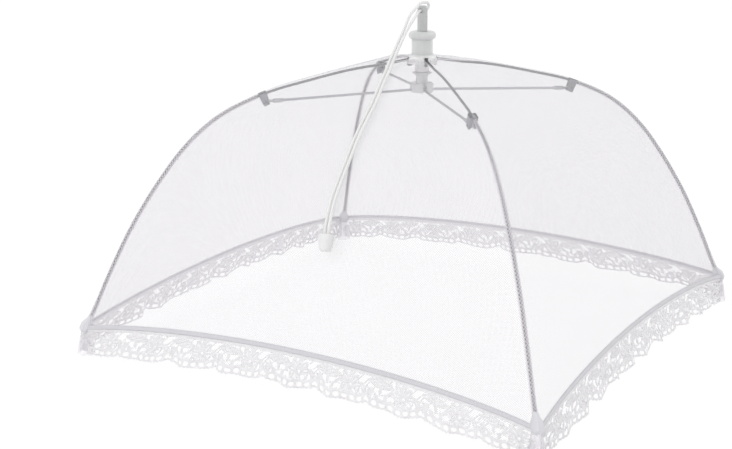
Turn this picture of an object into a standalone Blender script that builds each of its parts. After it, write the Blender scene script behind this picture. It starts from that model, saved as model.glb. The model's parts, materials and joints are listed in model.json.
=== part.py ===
"""Folding net food cover: a wire umbrella frame under four net gores with a lace edge.

Lengths are in metres. The cover stands open on the table at z = 0 with its middle at the
origin. Its four sides face -Y, +X, +Y and -X, and its four ribs run out along the diagonals.
A rib's shape is drawn in its own upright plane, as (distance from the middle, height).
"""

from math import acos, atan2, cos, degrees, pi, radians, sin, sqrt

import bmesh
import bpy
from mathutils import Matrix, Vector

# Driving dimensions of the open cover
SIDE = 0.300  # from rib tip to rib tip along one side
CROWN_RISE = 0.156  # rib pivots above the rib tips
LACE_WIDTH = 0.0185
HEM_ARCH = 0.0115  # how far the hem climbs the net between two ribs
FOLD_ANGLE = radians(45)
SIDES = 4

# Wire
WIRE_RADIUS = 0.0008
RING_WIRE_RADIUS = 0.0006
WIRE_RESOLUTION = 2
RING_STEPS = 24
TURNED_STEPS = 28

# Clearances, and how far a cutter passes the face that it cuts
GAP = 0.0003
RING_GAP = 0.00015
SLOT_GAP = 0.0004
PIN_GAP = 0.00012
OVERRUN = 0.002

# Hub, as radii and as heights over the rib pivots
PIVOT_RADIUS = 0.008
POST_RADIUS = 0.0031
FLANGE_RADIUS = 0.0085
FLANGE_TOP = 0.0185
FLANGE_DEPTH = 0.0049
BARREL_RADIUS = 0.0065
SKIRT_TOP = 0.0047
SKIRT_RADIUS = 0.00935
SKIRT_BOTTOM = -0.0012
SLEEVE_RADIUS = 0.0044
SLEEVE_BOTTOM = -0.0062

# Plunger, as radii and as heights over the rib pivots
POST_TOP = 0.0340
EYE_HEIGHT = 0.0313
EYE_RADIUS = 0.0014
STOP_RADIUS = 0.0063
STOP_DEPTH = 0.0020
TUBE_RADIUS = 0.0036
RUNNER_RADIUS = 0.00715
RUNNER_TOP = -0.0135
RUNNER_DEPTH = 0.0055
RUNNER_CORE_RADIUS = 0.0033
RUNNER_RING_RADIUS = 0.0056
RUNNER_RING_HEIGHT = -0.01605
FOLDED_RING_CLEARANCE = 0.0028

# Rib, clip and stretcher
RIB_EYE_RADIUS = 0.0019
CLIP_RADIUS = 0.1001  # distance of the clip from the middle
CLIP_PIN_DROP = 0.0046  # clip's pin inside the rib's middle line
CLIP_LENGTH = 0.0066
CLIP_WIDTH = 0.0050
CLIP_BELOW_PIN = 0.0030
CLIP_OVER_RIB = 0.0014
CLIP_BEVEL = 0.0004
STRETCHER_EYE_RADIUS = 0.0015
PIN_RADIUS = 0.0005
PIN_HEAD_RADIUS = 0.0010
PIN_HEAD_HEIGHT = 0.0004
FERRULE_SHARE = 1.6  # of the wire's radius
FERRULE_LENGTH = 0.0060
FERRULE_START = 0.0048
STRETCHER_SHORT = 0.0006  # cut off its open end, so that four of them pass each other

# Cloth
CLOTH_OFFSET = 0.0025  # net outside the ribs' middle line
NET_THICKNESS = 0.0006
NET_COLUMNS = 8
NET_ROWS = 12
CROWN_ROUND = 0.045  # distance from the middle where the net's rows have become straight
HEM_WIDTH = 0.0030
HEM_THICKNESS = 0.0009
HEM_COLUMNS = 16
LACE_THICKNESS = 0.0006
LACE_FLARE = radians(17)
LACE_NOTCH = 0.0034  # how deep the edge is cut between two scallops
LACE_RUFFLE = 0.0010
SCALLOPS = 9
SCALLOP_COLUMNS = 6
SLEEVE_TUBE_RADIUS = 0.0014
SLEEVE_WALL = 0.0003
SLEEVE_START = 0.0045  # from the clip's middle to the sleeve
POCKET_SIDE = 0.0048
POCKET_LENGTH = 0.0085
POCKET_SHIFT = 0.0011  # of the pocket's middle, inwards from the rib
POCKET_BEVEL = 0.0008
RIB_IN_POCKET = 0.0060

# Pull cord and knob
CORD_RADIUS = 0.0009
CORD_SPREAD = 0.00115  # each strand from the pair's middle
CORD_POINTS = 78
KNOB_RADIUS = 0.00475
KNOB_FOOT_RADIUS = 0.00335
KNOB_HEIGHT = 0.0092
KNOB_CUP_RADIUS = 0.0027
KNOB_CUP_DEPTH = 0.0050
KNOB_ROUND = 0.0012
KNOB_ASIDE = 0.0124  # from the middle of its side of the net
KNOB_PLACE_SHARE = 0.718  # of the net's length, from the hub down
KNOB_LEAN_SHARE = 0.15

# Rib outline, as shares of the tip's distance and of the crown's rise
RIB_OUTLINE_SHARES = (
    (0.053, 1.000), (0.200, 0.980), (0.350, 0.938), (0.460, 0.900), (0.570, 0.838),
    (0.645, 0.770), (0.710, 0.684), (0.762, 0.594), (0.813, 0.494), (0.868, 0.370),
    (0.928, 0.208), (0.968, 0.088), (1.000, 0.000),
)  # fmt: skip

# The pull cord's middle line, from the knob's cup up over the net to the post
CORD_ROUTE = (
    (0.0124, -0.1319, 0.0902), (0.0117, -0.1303, 0.0941), (0.0104, -0.1271, 0.0988),
    (0.0092, -0.1227, 0.1042), (0.0086, -0.1176, 0.1122), (0.0096, -0.1128, 0.1210),
    (0.0108, -0.1061, 0.1316), (0.0112, -0.0980, 0.1420), (0.0111, -0.0870, 0.1520),
    (0.0094, -0.0750, 0.1592), (0.0060, -0.0629, 0.1648), (0.0018, -0.0505, 0.1689),
    (-0.0020, -0.0390, 0.1724), (-0.0040, -0.0325, 0.1754), (-0.0050, -0.0265, 0.1794),
    (-0.0050, -0.0205, 0.1855), (-0.0038, -0.0150, 0.1932),
)  # fmt: skip
# Through the eye from the front, round behind the post and back over its top
CORD_LOOP = (
    (0.0000, -0.0095, 0.2010), (0.0002, -0.0055, 0.2038), (0.0000, -0.0020, 0.2042),
    (0.0000, 0.0020, 0.2042), (0.0000, 0.0055, 0.2046), (0.0000, 0.0076, 0.2066),
    (0.0000, 0.0068, 0.2088), (0.0000, 0.0045, 0.2099), (0.0000, 0.0000, 0.2102),
    (0.0000, -0.0035, 0.2098), (-0.0006, -0.0066, 0.2076), (-0.0028, -0.0105, 0.2026),
)  # fmt: skip

TIP_RADIUS = SIDE / sqrt(2)
CORNER_ANGLES = [radians(45) + i * 2 * pi / SIDES for i in range(SIDES)]
SIDE_ANGLES = [i * 2 * pi / SIDES for i in range(SIDES)]


def smooth_line(points, per_span):
    """Points of a Catmull-Rom curve through the given ones."""
    points = [Vector(p) for p in points]
    ends = [2 * points[0] - points[1], *points, 2 * points[-1] - points[-2]]
    line = []
    for a, b, c, d in zip(ends, ends[1:], ends[2:], ends[3:]):
        for i in range(per_span):
            t = i / per_span
            bend = (2 * a - 5 * b + 4 * c - d) * t**2 + (3 * b - a - 3 * c + d) * t**3
            line.append((2 * b + (c - a) * t + bend) / 2)
    return line + [points[-1]]


def outward(line):
    """The normal of a line in a rib's plane, pointing up and out, at each of its points."""
    normals = []
    for i in range(len(line)):
        along = line[min(i + 1, len(line) - 1)] - line[max(i - 1, 0)]
        normals.append(Vector((-along.y, along.x)).normalized())
    return normals


def lengths_along(line):
    total = [0.0]
    for a, b in zip(line, line[1:]):
        total.append(total[-1] + (b - a).length)
    return total


def at_length(line, lengths, distance):
    """The point of a line at a distance along it, carried on straight past either end."""
    i = 1
    while i < len(line) - 1 and lengths[i] < distance:
        i += 1
    share = (distance - lengths[i - 1]) / (lengths[i] - lengths[i - 1])
    return line[i - 1] + (line[i] - line[i - 1]) * share


# The rib's middle line over its tip, and the net's line outside it
RIB_LINE = smooth_line([(r * TIP_RADIUS, h * CROWN_RISE) for r, h in RIB_OUTLINE_SHARES], 4)
NET_LINE = [p + n * CLOTH_OFFSET for p, n in zip(RIB_LINE, outward(RIB_LINE))]
NET_LENGTHS = lengths_along(NET_LINE)
NET_LENGTH = NET_LENGTHS[-1]

# How high the rib tips stand over the table, with the lace's corners on it
TIP_LIFT = LACE_WIDTH * cos(LACE_FLARE) + GAP - NET_LINE[-1].y
HUB_HEIGHT = TIP_LIFT + CROWN_RISE
RIB_PIVOT = Vector((PIVOT_RADIUS, HUB_HEIGHT))
BOW = [p + Vector((0, TIP_LIFT)) for p in RIB_LINE[2::2]]
BOW_LENGTHS = lengths_along(BOW)


def on_bow(distance):
    """Point of the rib's middle line at a distance from the middle, and its direction there."""
    i = next(i for i, p in enumerate(BOW) if p.x >= distance)
    share = (distance - BOW[i - 1].x) / (BOW[i].x - BOW[i - 1].x)
    return BOW[i - 1].lerp(BOW[i], share), (BOW[i] - BOW[i - 1]).normalized()


CLIP_PLACE, CLIP_SLOPE = on_bow(CLIP_RADIUS)
CLIP_PIN = CLIP_PLACE + CLIP_PIN_DROP * Vector((CLIP_SLOPE.y, -CLIP_SLOPE.x))
RUNNER_RING_Z = HUB_HEIGHT + RUNNER_RING_HEIGHT
STRETCHER_FOOT = Vector(
    (RUNNER_RING_RADIUS, RUNNER_RING_Z - RING_WIRE_RADIUS - WIRE_RADIUS - RING_GAP)
)


def fold_sizes():
    """Plunger travel and stretcher turn, from the linkage at rest and fully folded."""
    reach = CLIP_PIN - RIB_PIVOT
    stretcher_reach = STRETCHER_FOOT - CLIP_PIN
    turned_to = atan2(-reach.y, reach.x) + FOLD_ANGLE
    pin = RIB_PIVOT + reach.length * Vector((cos(turned_to), -sin(turned_to)))
    slope = acos((pin.x - RUNNER_RING_RADIUS) / stretcher_reach.length)
    ring_height = pin.y - stretcher_reach.length * sin(slope) + FOLDED_RING_CLEARANCE
    first_slope = atan2(-stretcher_reach.y, -stretcher_reach.x)
    return RUNNER_RING_Z - ring_height, slope - first_slope + FOLD_ANGLE


def in_rib_plane(point, angle):
    """A point of a rib's plane, (distance, height), in the world."""
    return Vector((point[0] * cos(angle), point[0] * sin(angle), point[1]))


def rib_frame(point, along, angle):
    """Matrix at a point of a rib's plane: Z along the rib, Y across it, X towards the inside."""
    across = Vector((-sin(angle), cos(angle), 0))
    ahead = in_rib_plane(along, angle)
    turn = Matrix((across.cross(ahead), across, ahead)).transposed()
    return Matrix.Translation(in_rib_plane(point, angle)) @ turn.to_4x4()


def collection(name):
    group = bpy.data.collections.new(name)
    bpy.context.scene.collection.children.link(group)
    return group


def material(name, colour, roughness, metallic=0.0, alpha=1.0):
    made = bpy.data.materials.new(name)
    made.use_nodes = True
    shader = made.node_tree.nodes["Principled BSDF"]
    shader.inputs["Base Color"].default_value = (*colour, 1)
    shader.inputs["Roughness"].default_value = roughness
    shader.inputs["Metallic"].default_value = metallic
    shader.inputs["Alpha"].default_value = alpha
    made.diffuse_color = (*colour, alpha)
    return made


for startup_object in list(bpy.data.objects):
    bpy.data.objects.remove(startup_object)
PARTS = collection("food_cover")
CUTTERS = collection("cutters")
STEEL = material("zinc_plated_steel", (0.32, 0.33, 0.34), 0.35, metallic=1.0)
MILKY = material("milky_plastic", (0.78, 0.79, 0.78), 0.35)
GREY_PLASTIC = material("grey_plastic", (0.42, 0.43, 0.44), 0.45)
NET = material("net", (0.90, 0.89, 0.92), 0.8, alpha=0.35)
TAPE = material("hem_tape", (0.72, 0.72, 0.74), 0.8)
POCKET = material("pocket_cloth", (0.56, 0.58, 0.62), 0.8)
LACE = material("lace", (0.84, 0.83, 0.85), 0.8)
CORD = material("white_cord", (0.88, 0.88, 0.87), 0.7)


def add(name, data, group=PARTS, finish=None):
    obj = bpy.data.objects.new(name, data)
    group.objects.link(obj)
    if finish:
        data.materials.append(finish)
    return obj


def mesh_of(name, bm):
    mesh = bpy.data.meshes.new(name)
    bm.to_mesh(mesh)
    bm.free()
    return mesh


def block_mesh(name, low, high):
    bm = bmesh.new()
    bmesh.ops.create_cube(bm, size=1.0)
    low, high = Vector(low), Vector(high)
    bmesh.ops.scale(bm, vec=high - low, verts=bm.verts)
    bmesh.ops.translate(bm, vec=(low + high) / 2, verts=bm.verts)
    return mesh_of(name, bm)


def rod_mesh(name, radius, low, high, steps):
    """A cylinder about its own Z."""
    bm = bmesh.new()
    bmesh.ops.create_cone(
        bm, cap_ends=True, segments=steps, radius1=radius, radius2=radius, depth=high - low
    )
    bmesh.ops.translate(bm, vec=(0, 0, (low + high) / 2), verts=bm.verts)
    return mesh_of(name, bm)


def cut(obj, mesh, place):
    """Takes a cutter's shape, in place, out of an object."""
    cutter = add(mesh.name, mesh, CUTTERS)
    cutter.matrix_world = place
    cutter.hide_render = True
    cutter.display_type = "WIRE"
    made = obj.modifiers.new("cut_" + mesh.name, "BOOLEAN")
    made.operation = "DIFFERENCE"
    made.object = cutter


def bevel(obj, width, segments):
    made = obj.modifiers.new("edges", "BEVEL")
    made.width = width
    made.segments = segments
    made.limit_method = "ANGLE"


def turned(name, profile, finish, steps=TURNED_STEPS, closed=True):
    """A profile of (radius, height), down its outer side, turned about Z."""
    mesh = bpy.data.meshes.new(name)
    edges = [(i, i + 1) for i in range(len(profile) - 1)]
    if closed:
        edges.append((len(profile) - 1, 0))
    mesh.from_pydata([(r, 0, z) for r, z in profile], edges, [])
    obj = add(name, mesh, finish=finish)
    screw = obj.modifiers.new("turn", "SCREW")
    screw.steps = screw.render_steps = steps
    screw.use_merge_vertices = True
    screw.merge_threshold = 1e-6
    screw.use_smooth_shade = True
    return obj


def wire(name, points, radius, finish, shares=None, closed=False, caps=True):
    """A round wire along a list of points. The shares swell it at some of them."""
    curve = bpy.data.curves.new(name, "CURVE")
    curve.dimensions = "3D"
    curve.bevel_depth = radius
    curve.bevel_resolution = WIRE_RESOLUTION
    curve.use_fill_caps = caps
    spline = curve.splines.new("POLY")
    spline.points.add(len(points) - 1)
    spline.use_cyclic_u = closed
    for i, (knot, place) in enumerate(zip(spline.points, points)):
        knot.co = (*place, 1)
        knot.radius = shares[i] if shares else 1.0
    return add(name, curve, finish=finish)


def wire_ring(name, radius, height):
    turns = [2 * pi * i / RING_STEPS for i in range(RING_STEPS)]
    points = [in_rib_plane((radius, height), turn) for turn in turns]
    wire(name, points, RING_WIRE_RADIUS, STEEL, closed=True, caps=False)


def ring_groove(radius, height, bottom):
    """Profile of the groove that a wire ring sits in, open downwards, from outside to inside."""
    reach = RING_WIRE_RADIUS + RING_GAP
    return [
        (radius + reach, bottom),
        (radius + reach, height + reach),
        (radius - reach, height + reach),
        (radius - reach, bottom),
    ]


def hub():
    """Flanged hub: a barrel on a skirt that hides the rib eyes, and a sleeve for the plunger."""
    bore = POST_RADIUS + GAP
    round_radius = FLANGE_DEPTH / 2
    flange = [
        (FLANGE_RADIUS - round_radius * (1 - cos(a)), FLANGE_TOP - round_radius * (1 - sin(a)))
        for a in [radians(90 - 30 * i) for i in range(6)]
    ]
    skirt = [
        (BARREL_RADIUS + (SKIRT_RADIUS - BARREL_RADIUS) * sin(a), SKIRT_TOP * cos(a))
        for a in [radians(15 + 25 * i) for i in range(4)]
    ]
    profile = [
        (bore, FLANGE_TOP),
        *flange,
        (BARREL_RADIUS, FLANGE_TOP - FLANGE_DEPTH),
        (BARREL_RADIUS, SKIRT_TOP),
        *skirt,
        (SKIRT_RADIUS, SKIRT_BOTTOM),
        *ring_groove(PIVOT_RADIUS, 0, SKIRT_BOTTOM),
        (SLEEVE_RADIUS, SKIRT_BOTTOM),
        (SLEEVE_RADIUS, SLEEVE_BOTTOM),
        (bore, SLEEVE_BOTTOM),
    ]
    obj = turned("top_hub", [(r, z + HUB_HEIGHT) for r, z in profile], MILKY)
    eye_reach = RIB_EYE_RADIUS + WIRE_RADIUS + SLOT_GAP
    half = WIRE_RADIUS + SLOT_GAP
    low = (PIVOT_RADIUS - eye_reach, -half, HUB_HEIGHT + SKIRT_BOTTOM - OVERRUN)
    high = (SKIRT_RADIUS + OVERRUN, half, HUB_HEIGHT + eye_reach)
    for k, angle in enumerate(CORNER_ANGLES, start=1):
        cut(obj, block_mesh(f"hub_slot_{k}", low, high), Matrix.Rotation(angle, 4, "Z"))
    wire_ring("hub_ring", PIVOT_RADIUS, HUB_HEIGHT)


def plunger():
    """Plunger: the post with the cord's eye, its stop under the hub, and the slotted runner."""
    stop_top = SLEEVE_BOTTOM - GAP
    bottom = RUNNER_TOP - RUNNER_DEPTH
    round_radius = POST_RADIUS / 2
    top = [
        (POST_RADIUS - round_radius * (1 - sin(a)), POST_TOP - round_radius * (1 - cos(a)))
        for a in [radians(30 * i) for i in range(4)]
    ]
    profile = [
        (0, POST_TOP),
        *top,
        (POST_RADIUS, stop_top),
        (SLEEVE_RADIUS, stop_top),
        (STOP_RADIUS, stop_top - STOP_DEPTH / 4),
        (SLEEVE_RADIUS, stop_top - STOP_DEPTH),
        (TUBE_RADIUS, stop_top - STOP_DEPTH),
        (TUBE_RADIUS, RUNNER_TOP),
        (RUNNER_RADIUS, RUNNER_TOP),
        (RUNNER_RADIUS, bottom),
        *ring_groove(RUNNER_RING_RADIUS, RUNNER_RING_HEIGHT, bottom),
        (0, bottom),
    ]
    obj = turned("plunger", [(r, z + HUB_HEIGHT) for r, z in profile], MILKY, closed=False)
    half = WIRE_RADIUS + GAP
    low = (RUNNER_CORE_RADIUS, -half, HUB_HEIGHT + bottom - OVERRUN)
    high = (RUNNER_RADIUS + OVERRUN, half, HUB_HEIGHT + RUNNER_TOP + OVERRUN)
    for k, angle in enumerate(CORNER_ANGLES, start=1):
        cut(obj, block_mesh(f"runner_slot_{k}", low, high), Matrix.Rotation(angle, 4, "Z"))
    reach = POST_RADIUS + OVERRUN
    eye = Matrix.Translation((0, 0, HUB_HEIGHT + EYE_HEIGHT)) @ Matrix.Rotation(pi / 2, 4, "X")
    cut(obj, rod_mesh("post_eye", EYE_RADIUS, -reach, reach, 12), eye)
    wire_ring("runner_ring", RUNNER_RING_RADIUS, RUNNER_RING_Z)


def rib(k, angle):
    """Rib: an open eye round the hub's ring, then the long bow down to the corner."""
    eye = [
        RIB_PIVOT + RIB_EYE_RADIUS * Vector((cos(a), sin(a)))
        for a in [radians(-50 - 30 * i) for i in range(10)]
    ]
    wire(f"rib_{k}", [in_rib_plane(p, angle) for p in eye + BOW], WIRE_RADIUS, STEEL)


def clip(k, angle):
    """Clip: a block that the rib runs through, with two cheeks for the stretcher's eye."""
    place = rib_frame(CLIP_PLACE, CLIP_SLOPE, angle)
    half_length = CLIP_LENGTH / 2
    half_width = CLIP_WIDTH / 2
    bottom = CLIP_PIN_DROP + CLIP_BELOW_PIN
    low = (-CLIP_OVER_RIB, -half_width, -half_length)
    obj = add(f"clip_{k}", block_mesh(f"clip_{k}", low, (bottom, half_width, half_length)))
    obj.data.materials.append(GREY_PLASTIC)
    obj.matrix_world = place
    bevel(obj, CLIP_BEVEL, 1)
    past = half_length + OVERRUN
    cut(obj, rod_mesh(f"rib_bore_{k}", WIRE_RADIUS + GAP, -past, past, 10), place)
    mouth = WIRE_RADIUS + GAP
    mouth_top = CLIP_PIN_DROP - STRETCHER_EYE_RADIUS - WIRE_RADIUS - GAP
    mouth_low = (mouth_top, -mouth, -past)
    cut(obj, block_mesh(f"clip_mouth_{k}", mouth_low, (bottom + OVERRUN, mouth, past)), place)
    across = place @ Matrix.Translation((CLIP_PIN_DROP, 0, 0)) @ Matrix.Rotation(pi / 2, 4, "X")
    past = half_width + OVERRUN
    cut(obj, rod_mesh(f"pin_bore_{k}", PIN_RADIUS + PIN_GAP, -past, past, 10), across)
    clip_pin(k, across, half_width + GAP / 2)


def clip_pin(k, across, head):
    """Clip pin: a small rivet with two domed heads, through both cheeks and the eye."""
    profile = [
        (0, head + PIN_HEAD_HEIGHT),
        (PIN_HEAD_RADIUS / 2, head + PIN_HEAD_HEIGHT),
        (PIN_HEAD_RADIUS, head),
        (PIN_RADIUS, head),
    ]
    profile += [(r, -z) for r, z in reversed(profile)]
    turned(f"clip_pin_{k}", profile, STEEL, steps=10, closed=False).matrix_world = across


def stretcher(k, angle):
    """Stretcher: a straight wire from under the runner's ring to an eye on the clip's pin."""
    inward = (STRETCHER_FOOT - CLIP_PIN).normalized()
    first = atan2(inward.y, inward.x)
    ferrule_end = FERRULE_START + FERRULE_LENGTH
    straight = [
        (STRETCHER_FOOT - inward * STRETCHER_SHORT, 1),
        (CLIP_PIN + inward * (ferrule_end + GAP), 1),
        (CLIP_PIN + inward * ferrule_end, FERRULE_SHARE),
        (CLIP_PIN + inward * FERRULE_START, FERRULE_SHARE),
        (CLIP_PIN + inward * (FERRULE_START - GAP), 1),
        (CLIP_PIN + inward * (STRETCHER_EYE_RADIUS + 2 * WIRE_RADIUS), 1),
    ]
    eye = [
        (CLIP_PIN + STRETCHER_EYE_RADIUS * Vector((cos(a), sin(a))), 1)
        for a in [first - radians(25 + 30 * i) for i in range(10)]
    ]
    points = [in_rib_plane(p, angle) for p, _ in straight + eye]
    shares = [share for _, share in straight + eye]
    wire(f"stretcher_{k}", points, WIRE_RADIUS, STEEL, shares)


def corner_pocket(k, angle):
    """Corner pocket: a small block of folded cloth that the rib's tip stands in."""
    along = (BOW[-1] - BOW[-2]).normalized()
    below = POCKET_LENGTH - RIB_IN_POCKET
    half = POCKET_SIDE / 2
    place = rib_frame(BOW[-1], along, angle)
    low, high = (-half, -half, -RIB_IN_POCKET), (half, half, below)
    obj = add(f"corner_pocket_{k}", block_mesh(f"corner_pocket_{k}", low, high))
    obj.data.materials.append(POCKET)
    inside = Matrix.Translation((POCKET_SHIFT, 0, 0))
    obj.matrix_world = place @ inside @ Matrix.Rotation(radians(45), 4, "Z")
    bevel(obj, POCKET_BEVEL, 1)
    bore = rod_mesh(f"pocket_bore_{k}", WIRE_RADIUS + GAP, -RIB_IN_POCKET - OVERRUN, GAP, 10)
    cut(obj, bore, place)


def rib_sleeve(k, angle):
    """Rib sleeve: the tunnel of folded net that the rib runs through, from clip to pocket."""
    past, distance = next((p, n) for p, n in zip(BOW, BOW_LENGTHS) if p.x >= CLIP_RADIUS)
    start = distance - (past - CLIP_PLACE).length + SLEEVE_START
    end = BOW_LENGTHS[-1] - RIB_IN_POCKET - GAP
    points = [at_length(BOW, BOW_LENGTHS, start)]
    points += [p for p, n in zip(BOW, BOW_LENGTHS) if start < n < end]
    points.append(at_length(BOW, BOW_LENGTHS, end))
    points = [in_rib_plane(p, angle) for p in points]
    obj = wire(f"rib_sleeve_{k}", points, SLEEVE_TUBE_RADIUS, NET, caps=False)
    wall = obj.modifiers.new("wall", "SOLIDIFY")
    wall.thickness = SLEEVE_WALL
    wall.offset = -1


def gore_point(along, fraction):
    """Point of the -Y gore: a distance down the net's line, and a fraction from rib to rib."""
    p = at_length(NET_LINE, NET_LENGTHS, along)
    half = p.x / sqrt(2)
    fraction *= 1 - GAP * sqrt(2) / half
    straight = Vector((fraction * half, -half, 0))
    turn = fraction * radians(45)
    arc = Vector((p.x * sin(turn), -p.x * cos(turn), 0))
    straightened = min(1.0, (p.x - NET_LINE[0].x) / (CROWN_ROUND - NET_LINE[0].x))
    return arc.lerp(straight, straightened) + Vector((0, 0, p.y + TIP_LIFT))


def hem_length(fraction):
    """Distance down the net's line of the hem's lower edge, which arches between the ribs."""
    return NET_LENGTH - HEM_ARCH * (1 - fraction**2)


def net_place(fraction, up):
    """Net, from the hem's upper edge at up = 0 to the hub's skirt at up = 1."""
    start = SKIRT_RADIUS + GAP - NET_LINE[0].x
    end = hem_length(fraction) - HEM_WIDTH - GAP
    return gore_point(start + (end - start) * (1 - up), fraction)


def hem_place(fraction, up):
    """Hem tape, along the net's arched edge."""
    return gore_point(hem_length(fraction) - HEM_WIDTH * up, fraction)


def lace_place(fraction, up):
    """Lace, hung from the hem at up = 1, flared and softly ruffled, with a scalloped edge."""
    top = gore_point(hem_length(fraction), fraction)
    in_scallop = (fraction + 1) / 2 * SCALLOPS
    in_scallop = 2 * abs(in_scallop - round(in_scallop))
    notch = LACE_NOTCH * (1 - sqrt(1 - (1 - in_scallop) ** 2))
    down = GAP + (LACE_WIDTH - notch * (1 - fraction**20)) * (1 - up)
    ruffle = LACE_RUFFLE * (1 - up) * (1 - fraction**8)
    ruffle *= sin(3 * pi * SCALLOPS * (fraction + 1) / 4)
    out = down * sin(LACE_FLARE) + ruffle
    spread = 1 + out / -top.y
    return Vector((top.x * spread, top.y - out, top.z - down * cos(LACE_FLARE)))


def sheet(name, columns, rows, place, thickness, finish, angle):
    """A cloth sheet: a grid put in place by a function of two fractions, then thickened."""
    bm = bmesh.new()
    bmesh.ops.create_grid(bm, x_segments=columns, y_segments=rows, size=1.0)
    for vert in bm.verts:
        vert.co = place(vert.co.x, (vert.co.y + 1) / 2)
    bmesh.ops.rotate(bm, cent=(0, 0, 0), matrix=Matrix.Rotation(angle, 3, "Z"), verts=bm.verts)
    obj = add(name, mesh_of(name, bm), finish=finish)
    cloth = obj.modifiers.new("cloth", "SOLIDIFY")
    cloth.thickness = thickness
    cloth.offset = 1


def side_of_cloth(k, angle):
    sheet(f"net_{k}", NET_COLUMNS, NET_ROWS, net_place, NET_THICKNESS, NET, angle)
    sheet(f"hem_{k}", HEM_COLUMNS, 1, hem_place, HEM_THICKNESS, TAPE, angle)
    columns = SCALLOPS * SCALLOP_COLUMNS
    sheet(f"lace_{k}", columns, 1, lace_place, LACE_THICKNESS, LACE, angle)


def pull_cord():
    """Pull cord: one strand looped through the post's eye, with both ends in the knob."""
    side = Vector((CORD_SPREAD, 0, 0))
    up = [Vector(p) + side for p in CORD_ROUTE]
    down = [Vector(p) - side for p in reversed(CORD_ROUTE)]
    route = smooth_line(up + [Vector(p) for p in CORD_LOOP] + down, 12)
    lengths = lengths_along(route)
    steps = [lengths[-1] * i / (CORD_POINTS - 1) for i in range(CORD_POINTS)]
    wire("pull_cord", [at_length(route, lengths, s) for s in steps], CORD_RADIUS, CORD)
    print(f"cord length {lengths[-1]:.4f} m")


def pull_knob():
    """Pull knob: a turned cup that lies on the net and holds the cord's knotted ends."""
    place = KNOB_PLACE_SHARE * NET_LENGTH
    half = KNOB_HEIGHT / 2
    middle, above, below = [
        at_length(NET_LINE, NET_LENGTHS, place + step) for step in (0, -half, half)
    ]
    slope = Vector((0, (above.x - below.x) / sqrt(2), below.y - above.y)).normalized()
    across = Vector((1, 0, 0))
    out = slope.cross(across)
    on_net = Vector((KNOB_ASIDE, -middle.x / sqrt(2), middle.y + TIP_LIFT))
    centre = on_net + out * (NET_THICKNESS + GAP + KNOB_RADIUS)
    down = (slope + across * KNOB_LEAN_SHARE).normalized()
    foot = [
        (KNOB_FOOT_RADIUS - KNOB_ROUND * (1 - cos(a)), -half + KNOB_ROUND * (1 - sin(a)))
        for a in [radians(30 * i) for i in range(4)]
    ]
    profile = [
        (0, half - KNOB_CUP_DEPTH),
        (KNOB_CUP_RADIUS, half - KNOB_CUP_DEPTH),
        (KNOB_CUP_RADIUS, half),
        (KNOB_RADIUS - KNOB_ROUND / 2, half),
        (KNOB_RADIUS, half - KNOB_ROUND / 2),
        *foot,
        (0, -half),
    ]
    obj = turned("pull_knob", profile, MILKY, steps=24, closed=False)
    turn = down.to_track_quat("-Z", "Y").to_matrix().to_4x4()
    obj.matrix_world = Matrix.Translation(centre) @ turn
    print("knob top", centre - down * half, "down", down)


hub()
plunger()
for number, corner in enumerate(CORNER_ANGLES, start=1):
    rib(number, corner)
    clip(number, corner)
    stretcher(number, corner)
    corner_pocket(number, corner)
    rib_sleeve(number, corner)
for number, facing in enumerate(SIDE_ANGLES, start=1):
    side_of_cloth(number, facing)
pull_cord()
pull_knob()

travel, stretcher_turn = fold_sizes()
print(f"rib pivot {RIB_PIVOT.x:.5f} {RIB_PIVOT.y:.5f}, clip pin {CLIP_PIN.x:.5f} {CLIP_PIN.y:.5f}")
print(f"rib tips {TIP_LIFT:.5f} over the table, plunger travel {travel:.5f}")
print(f"turns per metre: rib {FOLD_ANGLE / travel:.5f}, stretcher {stretcher_turn / travel:.5f}")
print(f"stretcher turns {degrees(stretcher_turn):.3f} degrees on its clip")
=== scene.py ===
# %% [markdown]
# # A folding net food cover
# A food cover is a small umbrella that keeps flies off a dish. Four bowed wires fold out from a
# plastic hub, four pieces of net are stretched between them, and a strip of lace hides the edge.
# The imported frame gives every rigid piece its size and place. This lesson dresses it: the cord,
# the thin net, the hem, the cut lace, the gathered corners, and a finish for each of them.

# %% Load the frame
import json
from math import cos, pi, radians, sin, sqrt

import bmesh
import bpy
import numpy as np
from mathutils import Matrix, Vector


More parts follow.
